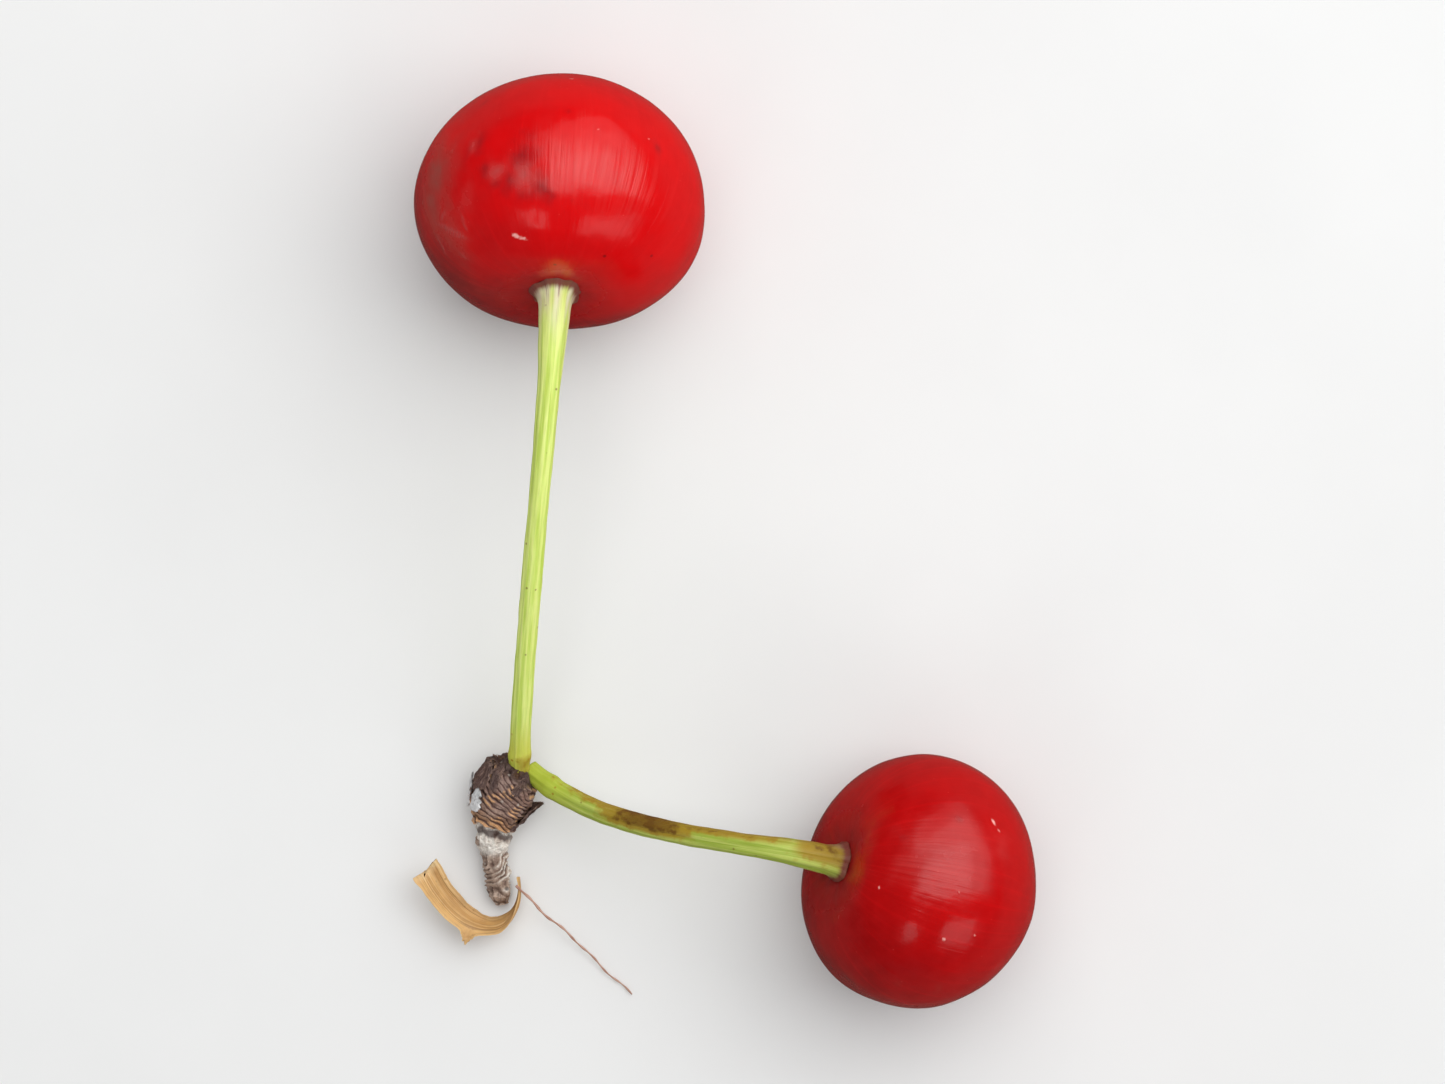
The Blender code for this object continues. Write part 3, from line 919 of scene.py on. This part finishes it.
class CHERRY_OT_stalks(bpy.types.Operator):
    """Makes the longer fresh stalk and the shorter stained one"""

    bl_idname = "cherry_pair.stalks"
    bl_label = "Stalks"

    def execute(self, context):
        settings = context.scene.cherry_stalks
        greens = settings.fresh, settings.fresh_pale, settings.fresh_aged
        fresh = stalk_finish("fresh stalk", *greens, settings)
        settle(make_stalk("upper_stalk", 3), "upper_stalk", fresh)
        greens = settings.dull, settings.dull_pale, settings.dull_aged
        dull = stalk_finish("dull stalk", *greens, settings)
        settle(make_stalk("lower_stalk", 8), "lower_stalk", dull)
        return {"FINISHED"}


# ---------------------------------------------------------------- spur


# Shares of the spur's route from the tail's tip, and its radius there in millimetres.
SPUR_OUTLINE = np.array([
    (0.0, 0.4), (0.08, 0.66), (0.3, 0.85), (0.52, 1.25), (0.6, 1.35),
    (0.72, 1.8), (0.86, 1.95), (0.97, 1.7), (1.0, 1.25),
])
SPUR_CROWN = 0.055  # how far the crown between the stalks rises past the end of the route
LIP_AT = 0.575  # share of the route where the knob's lip stands over the neck
# In millimetres: spacing of the ring scars and of the tail's ribs, and heights of what stands up.
RING_SPACING, RIB_SPACING = 0.385, 0.66
RING_HEIGHT, RIB_HEIGHT, LIP_HEIGHT = 0.18, 0.2, 0.26
FURROW_HEIGHT, CHIP_HEIGHT, SMALL_CHIP_HEIGHT, WORN_HEIGHT = 0.08, 0.07, 0.04, 0.16
RING_SLANT, RIB_SLANT = -0.55, 0.8  # rise along the spur per step to the left
RING_RISE, RIB_RISE = 0.68, 0.75  # share of each ring or rib that slopes up to its crest


def spur_radius(share):
    """The spur's plain radius: eased between the outline's points."""
    places, radii = SPUR_OUTLINE.T
    step = np.clip(np.searchsorted(places, share, side="right") - 1, 0, len(places) - 2)
    low, high = places[step], places[step + 1]
    return (radii[step] + (radii[step + 1] - radii[step]) * ease(share, low, high)) * MM


def sawtooth(turns, rise):
    """Sharp-crested waves from 0 to 1, one a turn: up over the share that rises, then down."""
    part = np.mod(turns, 1.0)
    return np.where(part < rise, part / rise, (1 - part) / (1 - rise))


def make_spur():
    """The spur. Slanted ring scars are uneven sharp-crested waves along the knob. They start at a
    lip that stands over the neck. The tail is furrowed lengthwise and has short slanted ribs
    where bark was peeled off.
    """
    down, around = grid(480, 170)
    total = length_along(SPUR_ROUTE, 1.0)
    step = (1 + SPUR_CROWN) * down
    beyond = np.clip((step - 1) / SPUR_CROWN, 0, 1)
    run = length_along(SPUR_ROUTE, step)
    share = run / total
    plain = spur_radius(share) * np.sqrt(1 - 0.97 * beyond**2)
    left, top = np.cos(around), np.sin(around)
    spot = np.stack([plain * left, plain * top, run], -1) / MM
    slanted = run / MM + RING_SLANT * plain * left / MM

    lip_at = LIP_AT * total / MM + 0.25 * uneven(spot * np.array((1, 1, 0)), 1.8, 70, 3) + 0.3 * left
    past_lip = run / MM - lip_at
    knob = ease(past_lip, -0.06, 0.08)
    lip = knob * np.exp(-np.maximum(past_lip, 0) / 0.5) * (0.6 + 0.4 * top)

    turns = slanted / RING_SPACING + 0.55 * uneven(spot, 2.4, 71, 2) + 0.13 * uneven(spot, 0.8, 79, 2)
    crest = sawtooth(turns, RING_RISE)
    height = np.clip(0.75 + 0.6 * uneven(spot, 1.7, 72, 2), 0.2, 1.4)
    rings = RING_HEIGHT * knob * (crest - 0.5) * height

    tail = 1 - knob
    slanted = run / MM + RIB_SLANT * plain * left / MM
    rib = sawtooth(slanted / RIB_SPACING + 0.75 * uneven(spot, 1.9, 74, 2), RIB_RISE)
    low_tail = 1 - ease(share, 0.3, 0.42)
    ribs = RIB_HEIGHT * tail * (rib - 0.4) * (0.35 + 0.65 * low_tail) * ease(share, 0.03, 0.1)
    furrows = FURROW_HEIGHT * tail * uneven(spot * np.array((1.6, 1.6, 0.35)), 1.0, 73, 3)
    chips = CHIP_HEIGHT * uneven(spot, 0.9, 75, 3) + SMALL_CHIP_HEIGHT * uneven(spot, 0.3, 76, 2)
    worn = ease(share, 0.9, 1.0) * WORN_HEIGHT * uneven(spot * np.array((1.0, 1.0, 0.1)), 0.5, 78, 3)
    radius = plain + (rings + LIP_HEIGHT * lip + ribs + furrows + chips + worn) * MM
    radius = np.maximum(radius, 0.15 * MM * (1 - beyond))
    narrower = 1 - 0.1 * tail * ease(share, 0.1, 0.3)
    points = carried(SPUR_ROUTE, step, radius * left * narrower, radius * top)
    points = kept_above(points, box_of("spur")[0][2] + 0.01 * MM)

    right = ease(-left, -0.35, 0.6)
    white = tail * ease(share, 0.34, 0.42) * ease(uneven(spot, 1.6, 77, 2), -1.2, -0.4)
    edge = tail * right * ease(rib, 0.45, 0.95) * ease(share, 0.06, 0.12)
    paint = {"lie": lie(run, around), "knob": knob, "lip": np.clip(lip * 1.3, 0, 1)}
    paint["crest"] = np.clip(crest * knob + tail * (0.35 + 0.5 * rib + 2 * chips), 0, 1)
    # Painted shadow under the lip, and the crown's tip darkened.
    under_lip = np.exp(-(((past_lip + 0.42) / 0.34) ** 2)) * (0.45 + 0.55 * top)
    paint["shade"] = under_lip + 0.9 * ease(share, 0.95, 1.0)
    paint["peeled"] = np.clip(np.maximum(white, edge), 0, 1)
    # Golden crests and lip: partly the wood's golden colour, partly a painted highlight where they catch
    # the light.
    glint = ease(uneven(spot, 1.3, 85, 2), 0.1, 0.55) * ease(crest, 0.5, 0.9)
    paint["gold"] = np.clip(knob * glint + 1.1 * lip, 0, 1)
    return skin_piece("spur_wood", [(points, paint)])


def wood_finish(settings):
    """Weathered wood: dusty ring crests, some golden and partly a painted highlight, over dark grooves,
    a painted shadow under the lip, and a grey tail that is whitish where it is peeled."""
    material, tree, shader = new_material("ring-scarred wood")
    place = place_of(tree)
    clouds = mottle(tree, place, 1.1 * MM, 0.3, 0.7)
    grit = mottle(tree, place, 0.2 * MM, 0.3, 0.7)
    lines = grain(tree, 5.0, 1.2, 0.8)
    crest = painted(tree, "crest")
    gold = painted(tree, "gold")
    groove = blend(tree, clouds, settings.groove, settings.groove_red)
    ridge = blend(tree, clouds, settings.ridge, settings.ridge_dusty)
    # Golden crests: partly their own colour, partly a painted highlight.
    ridge = overlaid(tree, ridge, gold, 0.9, settings.ridge_gold_and_glint)
    colour = blend(tree, between(tree, crest, 0.06, 0.5), groove, ridge)
    tail = blend(tree, between(tree, crest, 0.25, 0.75), settings.tail_dark, settings.tail)
    tail = blend(tree, between(tree, lines, 0.5, 0.7, 0, 0.5), tail, settings.groove_red)
    gritty = between(tree, grit, 0.2, 0.8, 0.65, 1.0)
    tail = overlaid(tree, tail, painted(tree, "peeled"), gritty, settings.peeled)
    colour = blend(tree, painted(tree, "knob"), tail, colour)
    # Painted shadow under the lip and a darker crown tip, in the groove colour.
    shade = between(tree, painted(tree, "shade"), 0.15, 0.8, 0, 0.85)
    colour = blend(tree, shade, colour, settings.groove)
    flakes = specks(tree, place, 0.55 * MM, 0.26, 0.16)
    colour = overlaid(tree, colour, flakes, 0.55, settings.flake)
    dark_chips = specks(tree, place, 0.7 * MM, 0.32, 0.35)
    colour = overlaid(tree, colour, dark_chips, 0.7, settings.chip)
    normal = raised(tree, (clouds, 0.1 * MM, 1.0), (lines, 0.08 * MM, 1.0), (grit, 0.05 * MM, 1.0))
    roughness = between(tree, clouds, 0.0, 1.0, 0.45, 0.8)
    roughness = scaled(tree, gold, -0.2, roughness)
    connect(tree, shader, {"Base Color": colour, "Roughness": roughness, "Normal": normal})
    return material


class SpurSettings(bpy.types.PropertyGroup):
    """Colours of the woody spur and the dry scales on it."""

    groove: tint("Groove", "Between ring scars", (0.06, 0.03, 0.025))
    groove_red: tint("Reddish groove", "Redder grooves", (0.12, 0.055, 0.045))
    ridge: tint("Ridge", "Crests of the ring scars", (0.26, 0.145, 0.11))
    ridge_dusty: tint("Dusty ridge", "Greyer crests", (0.36, 0.25, 0.21))
    # Partly a painted highlight on lit crests and the lip.
    ridge_gold_and_glint: tint("Golden ridge", "Lightest crests", (0.8, 0.44, 0.2))
    tail: tint("Tail", "Weathered tail", (0.5, 0.37, 0.29))
    tail_dark: tint("Tail's dark lines", "Furrows of the tail", (0.21, 0.135, 0.1))
    peeled: tint("Peeled", "Whitish peeled wood", (0.92, 0.87, 0.79))
    flake: tint("Pale flakes", "Small pale chips on the wood", (0.75, 0.68, 0.6))
    chip: tint("Dark chips", "Small dark chips on the wood", (0.025, 0.012, 0.01))
    scale: tint("Bud scale", "Dark dry scale", (0.1, 0.055, 0.05))
    scale_edge: tint("Scale edge", "Paler scale edge", (0.34, 0.22, 0.17))
    scale_silver: tint("Silvery scale", "Weathered film", (0.82, 0.82, 0.82))


class CHERRY_OT_spur(bpy.types.Operator):
    """Makes the woody spur with its ring scars and peeled tail"""

    bl_idname = "cherry_pair.spur"
    bl_label = "Spur"

    def execute(self, context):
        settle(make_spur(), "spur", wood_finish(context.scene.cherry_spur))
        return {"FINISHED"}


# ---------------------------------------------------------------- bud scales


# Flakes of each scale: angle round the spur in degrees from its left, shares of its route at both
# ends, half width and lift of the tip in millimetres, how far the tip veers in degrees, and seed.
BUD_SCALES = {
    "bud_scale_left": (
        (38, 0.71, 0.85, 0.56, 0.16, 10, 5),
        (-4, 0.7, 0.88, 0.7, 0.3, 8, 15),
    ),
    "bud_scale_right": (
        (168, 0.66, 0.86, 0.62, 0.3, 16, 6),
        (204, 0.6, 0.88, 0.85, 0.72, -8, 16),
        (146, 0.6, 0.72, 0.4, 0.14, 18, 26),
    ),
    "bud_scale_top": (
        (36, 0.82, 1.0, 0.62, 0.42, 6, 7),
        (72, 0.88, 1.03, 0.36, 0.3, -18, 17),
        (8, 0.84, 1.02, 0.42, 0.36, 12, 27),
        (112, 0.9, 1.03, 0.34, 0.22, 10, 37),
    ),
}


SCALE_THICKNESS = 0.045  # half of it, in millimetres at the flake's root
SCALE_CLEARANCE = 0.13  # from the knob, in millimetres


def make_scale(name):
    """A dry scale in a few cupped torn flakes that cling to the knob.

    half width = w sin(pi (0.2 + 0.72 s)), and the height falls off with the square of the place
    across, so the flake bends round the knob. Its torn tip ends each lengthwise line at its own
    length.
    """
    shells = []
    for angle, start, end, half_width, lift, veer, seed in BUD_SCALES[name]:
        down, around = grid(48, 56)
        across = np.cos(around)
        flat = np.zeros_like(across)
        torn = 1 - 0.2 * (0.5 + 0.5 * uneven_at((across * 2.4, flat), seed, 3))
        step = down * torn
        share = start + (end - start) * step
        ragged = 1 + 0.16 * uneven_at((step * 5, np.sign(across) * 3.0), seed + 1, 3)
        width = half_width * MM * np.sin(np.pi * (0.2 + 0.72 * step)) * ragged
        thick = SCALE_THICKNESS * MM * (1 - 0.4 * step)
        knob = spur_radius(np.minimum(share, 1))
        ripple = 0.05 * uneven_at((step * 2.5, across * 1.4), seed + 2, 3)
        lifted = (SCALE_CLEARANCE + lift * step**2 + ripple) * MM
        height = knob + lifted - (across * width) ** 2 / (2 * knob)
        height = height + thick * np.sin(around)
        outward = np.radians(angle + veer * step)
        points = kept_above(carried(SPUR_ROUTE, share, height, -across * width, outward), 0.02 * MM)
        paint = {"lie": np.stack([across * 2, step * 0.5 + seed, step * 3], -1)}
        paint["edge"] = np.maximum(np.abs(across) ** 6, ease(step, 0.75, 1))
        paint["silver"] = flat + (1.0 if name == "bud_scale_left" else 0.0)
        shells.append((points, paint))
    return skin_piece(name + "_dry", shells)


def scale_finish(settings):
    """Dark dry scale with paler torn edges and a silvery weathered film."""
    material, tree, shader = new_material("dry bud scale")
    place = place_of(tree)
    clouds = mottle(tree, place, 0.9 * MM, 0.35, 0.65)
    film = mottle(tree, place, 0.6 * MM, 0.34, 0.46)
    lines = grain(tree, 6.0, 0.6, 0.4)
    pale = between(tree, lines, 0.42, 0.62, 0, 0.7)
    colour = blend(tree, pale, settings.scale, settings.scale_edge)
    colour = overlaid(tree, colour, clouds, 0.5, settings.groove)
    silver = times(tree, film, painted(tree, "silver"))
    colour = overlaid(tree, colour, painted(tree, "edge"), 0.5, settings.scale_edge)
    colour = blend(tree, silver, colour, settings.scale_silver)
    normal = raised(tree, (lines, 0.08 * MM, 1.0), (clouds, 0.08 * MM, 1.0))
    roughness = between(tree, film, 0.0, 1.0, 0.75, 0.4)
    connect(tree, shader, {"Base Color": colour, "Roughness": roughness, "Normal": normal})
    return material


class CHERRY_OT_scales(bpy.types.Operator):
    """Makes the dry bud scales round the knob"""

    bl_idname = "cherry_pair.scales"
    bl_label = "Bud scales"

    def execute(self, context):
        dry = scale_finish(context.scene.cherry_spur)
        for name in BUD_SCALES:
            settle(make_scale(name), name, dry)
        return {"FINISHED"}


# ---------------------------------------------------------------- torn bark


STRIP_HALF_WIDTH, STRIP_THICKNESS = 0.9 * MM, 0.07 * MM  # the thickness is half of the strip's
STRIP_CUP = 0.14  # how deep its hollow side is, in millimetres
STRIP_TURN = math.radians(82)  # how far it turns from standing on its edge to lying down
TUFT, TUFT_AT, TUFT_LENGTH = 0.72 * MM, 0.645, 0.034  # the torn tuft: how far out, where, how long
CORNER, CORNER_AT, CORNER_LENGTH = 0.22 * MM, 0.98, 0.03  # the same for the strip's torn corner
FIBRE_RADIUS, FIBRE_WAVER = 0.085 * MM, 0.2 * MM


def make_curl():
    """The torn strip of bark. It stands on its edge beside the tail, turns under the tip and
    lies on its face. Its end is torn across, and a tuft is torn from its outer edge.

    Its section is a thin cupped lens: across = w cos(a), deep = t sin(a) + cup (across/w)^2.
    """
    down, around = grid(300, 84)
    across = np.cos(around)
    flat = np.zeros_like(across)
    fibres = uneven_at((across * 3.2, flat), 81, 4)
    share = down * (1 - 0.012 * (1 + fibres) - 0.012 * across)
    ragged = 1 + 0.035 * uneven_at((share * 9, np.sign(across) * 2), 82, 3)
    half_width = STRIP_HALF_WIDTH * (0.55 + 0.45 * ease(share, 0.0, 0.25)) * ragged
    tuft = np.exp(-(((share - TUFT_AT) / TUFT_LENGTH) ** 2)) * ease(across, 0.4, 0.95)
    frayed = 0.85 + 0.45 * uneven_at((share * 60, across), 83, 3)
    corner = np.exp(-(((share - CORNER_AT) / CORNER_LENGTH) ** 2)) * ease(across, 0.6, 1.0)
    half_width = half_width + TUFT * tuft * frayed + CORNER * corner
    ridges = 0.014 * uneven_at((across * 6, share * 1.5), 84, 3)
    waves = 0.06 * uneven_at((share * 3, across * 0.6), 86, 2)
    cup = STRIP_CUP * (across**2 - 0.5)
    deep = STRIP_THICKNESS * np.sin(around) + (cup + ridges + waves - 0.25 * tuft) * MM
    roll = math.pi / 2 - STRIP_TURN * ease(share, 0.0, 1.0)
    points = kept_above(carried(CURL_ROUTE, share, half_width * across, deep, roll), 0.03 * MM)
    run = length_along(CURL_ROUTE, share)
    paint = {"lie": np.stack([across * 1.6, np.sin(around) * 0.15, run / MM], -1)}
    paint["edge"] = np.maximum(np.abs(across) ** 12, ease(down, 0.97, 1.0))
    paint["torn"] = np.clip(tuft * 1.5, 0, 1)
    paint["inside"] = ease(-across, 0.3, 0.9) * (1 - ease(share, 0.75, 1.0))
    return skin_piece("bark_curl_strip", [(points, paint)])


def bark_finish(settings):
    """Papery tan bark with long fibres, browner on the inside of its bend."""
    material, tree, shader = new_material("papery bark")
    place = place_of(tree)
    fibres = grain(tree, 6.5, 0.14, 0.12)
    broad = grain(tree, 2.2, 0.1, 0.15)
    clouds = mottle(tree, place, 1.1 * MM, 0.4, 0.7)
    bands = between(tree, broad, 0.35, 0.65)
    colour = blend(tree, bands, settings.strip, settings.strip_light)
    colour = blend(tree, between(tree, fibres, 0.52, 0.68, 0, 0.65), colour, settings.strip_pale)
    colour = blend(tree, between(tree, fibres, 0.47, 0.32, 0, 0.7), colour, settings.strip_dark)
    colour = overlaid(tree, colour, clouds, 0.22, settings.strip_dark)
    colour = overlaid(tree, colour, painted(tree, "inside"), 0.45, settings.strip_dark)
    colour = overlaid(tree, colour, painted(tree, "edge"), 0.5, settings.strip_pale)
    colour = overlaid(tree, colour, painted(tree, "torn"), 0.3, settings.strip_dark)
    flecks = specks(tree, place, 0.6 * MM, 0.2, 0.2)
    colour = overlaid(tree, colour, flecks, 0.5, settings.strip_dark)
    normal = raised(tree, (fibres, 0.05 * MM, 1.0), (broad, 0.07 * MM, 1.0))
    roughness = between(tree, fibres, 0.3, 0.7, 0.42, 0.65)
    connect(tree, shader, {
        "Base Color": colour,
        "Roughness": roughness,
        "Normal": normal,
        "Subsurface Weight": 0.1,
        "Subsurface Radius": (1.0, 0.6, 0.3),
        "Subsurface Scale": 0.2 * MM,
    })
    return material


def make_fibre():
    """One thin fibre that leaves the top edge of the strip. It is a tube that wavers a little and
    thins towards its frayed end."""
    down, around = grid(180, 12)
    total = length_along(FIBRE_ROUTE, 1.0)
    run = length_along(FIBRE_ROUTE, down)
    along = run[..., None] / MM
    held = ease(run, 0.0, 1.2 * MM) * FIBRE_WAVER
    sideways = uneven(along, 5.6, 91, 2) * held
    upward = uneven(along, 3.6, 92, 2) * held
    radius = FIBRE_RADIUS * (1 - 0.4 * run / total) * (1 + 0.2 * uneven(along, 1.0, 93, 2))
    across, deep = radius * np.cos(around) + sideways, radius * np.sin(around) + upward
    points = kept_above(carried(FIBRE_ROUTE, down, across, deep), 0.02 * MM)
    return skin_piece("bark_fibre_thread", [(points, {"lie": lie(run, around)})])


def fibre_finish(settings):
    """Pale brown plant fibre with darker stretches."""
    material, tree, shader = new_material("bark fibre")
    stretches = grain(tree, 0.8, 1.1, 0.3)
    fine = grain(tree, 3.0, 0.5, 0.1)
    dark = between(tree, stretches, 0.35, 0.65)
    colour = blend(tree, dark, settings.fibre, settings.fibre_dark)
    normal = raised(tree, (fine, 0.03 * MM, 1.0))
    roughness = between(tree, stretches, 0.3, 0.7, 0.5, 0.7)
    connect(tree, shader, {"Base Color": colour, "Roughness": roughness, "Normal": normal})
    return material


class BarkSettings(bpy.types.PropertyGroup):
    """Colours of the torn bark."""

    strip: tint("Bark", "Papery strip", (0.55, 0.29, 0.09))
    strip_light: tint("Light bark", "Its lighter bands", (0.74, 0.44, 0.16))
    strip_pale: tint("Pale fibres", "Raised fibres", (0.86, 0.62, 0.32))
    strip_dark: tint("Dark fibres", "Sunken fibres", (0.26, 0.12, 0.035))
    fibre: tint("Fibre", "Thin fibre", (0.62, 0.37, 0.28))
    fibre_dark: tint("Dark fibre", "Its darker stretches", (0.4, 0.2, 0.14))


class CHERRY_OT_bark(bpy.types.Operator):
    """Makes the curled strip of bark and the thin fibre"""

    bl_idname = "cherry_pair.bark"
    bl_label = "Torn bark"

    def execute(self, context):
        settings = context.scene.cherry_bark
        settle(make_curl(), "bark_curl", bark_finish(settings))
        settle(make_fibre(), "bark_fibre", fibre_finish(settings))
        return {"FINISHED"}


# ---------------------------------------------------------------- stage


def floor_finish(settings):
    """Plain pale paper with the faintest unevenness. Glossy skin mirrors it as a dim surface."""
    material, tree, shader = new_material("pale paper")
    place = place_of(tree)
    clouds = mottle(tree, place, 30 * MM, 0.3, 0.7)
    deeper = tuple(0.97 * part for part in settings.floor)
    colour = blend(tree, clouds, settings.floor, deeper)
    seen = put(tree, "ShaderNodeLightPath").outputs["Is Glossy Ray"]
    colour = blend(tree, seen, colour, settings.floor_mirrored)
    connect(tree, shader, {"Base Color": colour, "Roughness": 0.9, "Specular IOR Level": 0.1})
    return material


def make_floor(settings):
    """A wide flat sheet just under the pair."""
    half = settings.floor_size / 2
    corners = [(-half, -half, 0), (half, -half, 0), (half, half, 0), (-half, half, 0)]
    mesh = bpy.data.meshes.new("floor")
    mesh.from_pydata(corners, [], [(0, 1, 2, 3)])
    mesh.materials.append(floor_finish(settings))
    floor = bpy.data.objects.new("floor", mesh)
    floor.location = (0, 0, cad_bounds[0][2] - 0.02 * MM)
    bpy.context.scene.collection.objects.link(floor)


FRAME_SHAPE = 1445 / 1084  # the picture's width over its height
WINDOW_SIDES = (0.78, 0, -0.62), (0, 0.97, -0.25)
# Each light: its name, lower corner in metres, its two sides' ways, their lengths, and setting.
LIGHTS = (
    ("key light", (-0.19, -0.065, 0.56), WINDOW_SIDES, (0.68, 0.64), "key"),
    ("middle light", (-0.16, -0.06, 0.55), WINDOW_SIDES, (0.6, 0.42), "middle"),
    ("window light", (-0.12, -0.055, 0.54), WINDOW_SIDES, (0.48, 0.25), "window"),
    ("right fill", (0.13, -0.49, 0.33), ((0.9, 0, -0.43), (0, 0.85, 0.53)), (0.34, 0.22), "fill"),
    ("left fill", (-0.28, -0.44, 0.34), ((0.93, 0, 0.36), (0, 0.85, 0.53)), (0.17, 0.2), "fill"),
)


def make_light(name, corner, sides, size, strength):
    """A soft rectangular light, given by its lower corner in metres and the ways its two sides
    run. Strength is in watts per square metre."""
    lamp = bpy.data.lights.new(name, "AREA")
    lamp.shape = "RECTANGLE"
    lamp.size, lamp.size_y = size
    lamp.energy = strength * size[0] * size[1]
    first = Vector(sides[0]).normalized()
    away = first.cross(Vector(sides[1])).normalized()
    second = away.cross(first)
    piece = bpy.data.objects.new(name, lamp)
    piece.location = Vector(corner) + first * size[0] / 2 + second * size[1] / 2
    piece.rotation_euler = Matrix((first, second, away)).transposed().to_euler()
    bpy.context.scene.collection.objects.link(piece)


def make_camera(settings):
    """A camera straight above the middle of the pair, framed on its longer side."""
    low, high = np.array(cad_bounds[0]), np.array(cad_bounds[1])
    data = bpy.data.cameras.new("camera")
    data.lens = settings.lens
    data.clip_start = 0.01
    tall = (high - low)[1] * settings.margin
    wide = tall * FRAME_SHAPE
    distance = wide * data.lens / data.sensor_width
    camera = bpy.data.objects.new("camera", data)
    middle = (low + high) / 2
    camera.location = (middle[0], middle[1], middle[2] + distance)
    bpy.context.scene.collection.objects.link(camera)
    bpy.context.scene.camera = camera


class StageSettings(bpy.types.PropertyGroup):
    """Floor, lights and camera."""

    floor: tint("Floor", "Pale paper", (0.83, 0.83, 0.82))
    floor_mirrored: tint("Mirrored floor", "Floor as glossy skin mirrors it", (0.2, 0.09, 0.08))
    floor_size: amount("Floor size", "Side of the floor", 1.6, min=0.2, unit="LENGTH")
    sky_tint: tint("Surroundings", "Colour of the even light", (0.97, 0.98, 1.0))
    sky: amount("Surrounding light", "Even light from all round", 0.4, min=0)
    mirrored: amount("Mirrored share", "How much of it glossy skin mirrors", 0.08, min=0, subtype="FACTOR")
    key: amount("Key light", "Watts per square metre of the large light", 2.1, min=0)
    middle: amount("Middle light", "Watts per square metre of its middle", 1.9, min=0)
    window: amount("Window light", "Watts per square metre of its core", 3.0, min=0)
    fill: amount("Fill light", "Watts per square metre of the small lights", 3.6, min=0)
    lens: amount("Lens", "Focal length in millimetres", 180.0, min=20)
    margin: amount("Margin", "Frame height over the pair's length", 1.16, min=1.0)


class CHERRY_OT_stage(bpy.types.Operator):
    """Makes the floor, the soft lights and the camera"""

    bl_idname = "cherry_pair.stage"
    bl_label = "Stage"

    def execute(self, context):
        settings = context.scene.cherry_stage
        make_floor(settings)
        for name, corner, sides, size, setting in LIGHTS:
            make_light(name, corner, sides, size, getattr(settings, setting))
        world = bpy.data.worlds.new("soft surroundings")
        world.use_nodes = True
        tree = world.node_tree
        seen = put(tree, "ShaderNodeLightPath").outputs["Is Glossy Ray"]
        strength = between(tree, seen, 0.0, 1.0, settings.sky, settings.sky * settings.mirrored)
        connect(tree, tree.nodes["Background"], {"Color": settings.sky_tint, "Strength": strength})
        context.scene.world = world
        context.scene.view_settings.view_transform = "Standard"
        make_camera(settings)
        return {"FINISHED"}


# ---------------------------------------------------------------- add-on


class CHERRY_PT_panel(bpy.types.Panel):
    """Lists the steps that build the pair."""

    bl_idname = "CHERRY_PT_panel"
    bl_label = "Cherry Pair"
    bl_space_type = "VIEW_3D"
    bl_region_type = "UI"
    bl_category = "Cherry Pair"

    def draw(self, context):
        for group, operators in STEPS:
            box = self.layout.box()
            for operator in operators:
                box.operator(operator.bl_idname)
            settings = getattr(context.scene, group)
            for name in settings.__annotations__:
                box.prop(settings, name)


STEPS = (
    ("cherry_fruits", (CHERRY_OT_fruits,)),
    ("cherry_stalks", (CHERRY_OT_stalks,)),
    ("cherry_spur", (CHERRY_OT_spur, CHERRY_OT_scales)),
    ("cherry_bark", (CHERRY_OT_bark,)),
    ("cherry_stage", (CHERRY_OT_stage,)),
)
SETTINGS = {
    "cherry_fruits": CherrySettings,
    "cherry_stalks": StalkSettings,
    "cherry_spur": SpurSettings,
    "cherry_bark": BarkSettings,
    "cherry_stage": StageSettings,
}
OPERATORS = tuple(operator for _, operators in STEPS for operator in operators)


def register():
    for item in (*SETTINGS.values(), *OPERATORS, CHERRY_PT_panel):
        bpy.utils.register_class(item)
    for name, settings in SETTINGS.items():
        setattr(bpy.types.Scene, name, PointerProperty(type=settings))


def unregister():
    for name in SETTINGS:
        delattr(bpy.types.Scene, name)
    for item in (CHERRY_PT_panel, *reversed(OPERATORS), *reversed(SETTINGS.values())):
        bpy.utils.unregister_class(item)


def main():
    register()
    bpy.ops.cherry_pair.fruits()
    bpy.ops.cherry_pair.stalks()
    bpy.ops.cherry_pair.spur()
    bpy.ops.cherry_pair.scales()
    bpy.ops.cherry_pair.bark()
    bpy.ops.cherry_pair.stage()


if __name__ == "__main__":
    main()
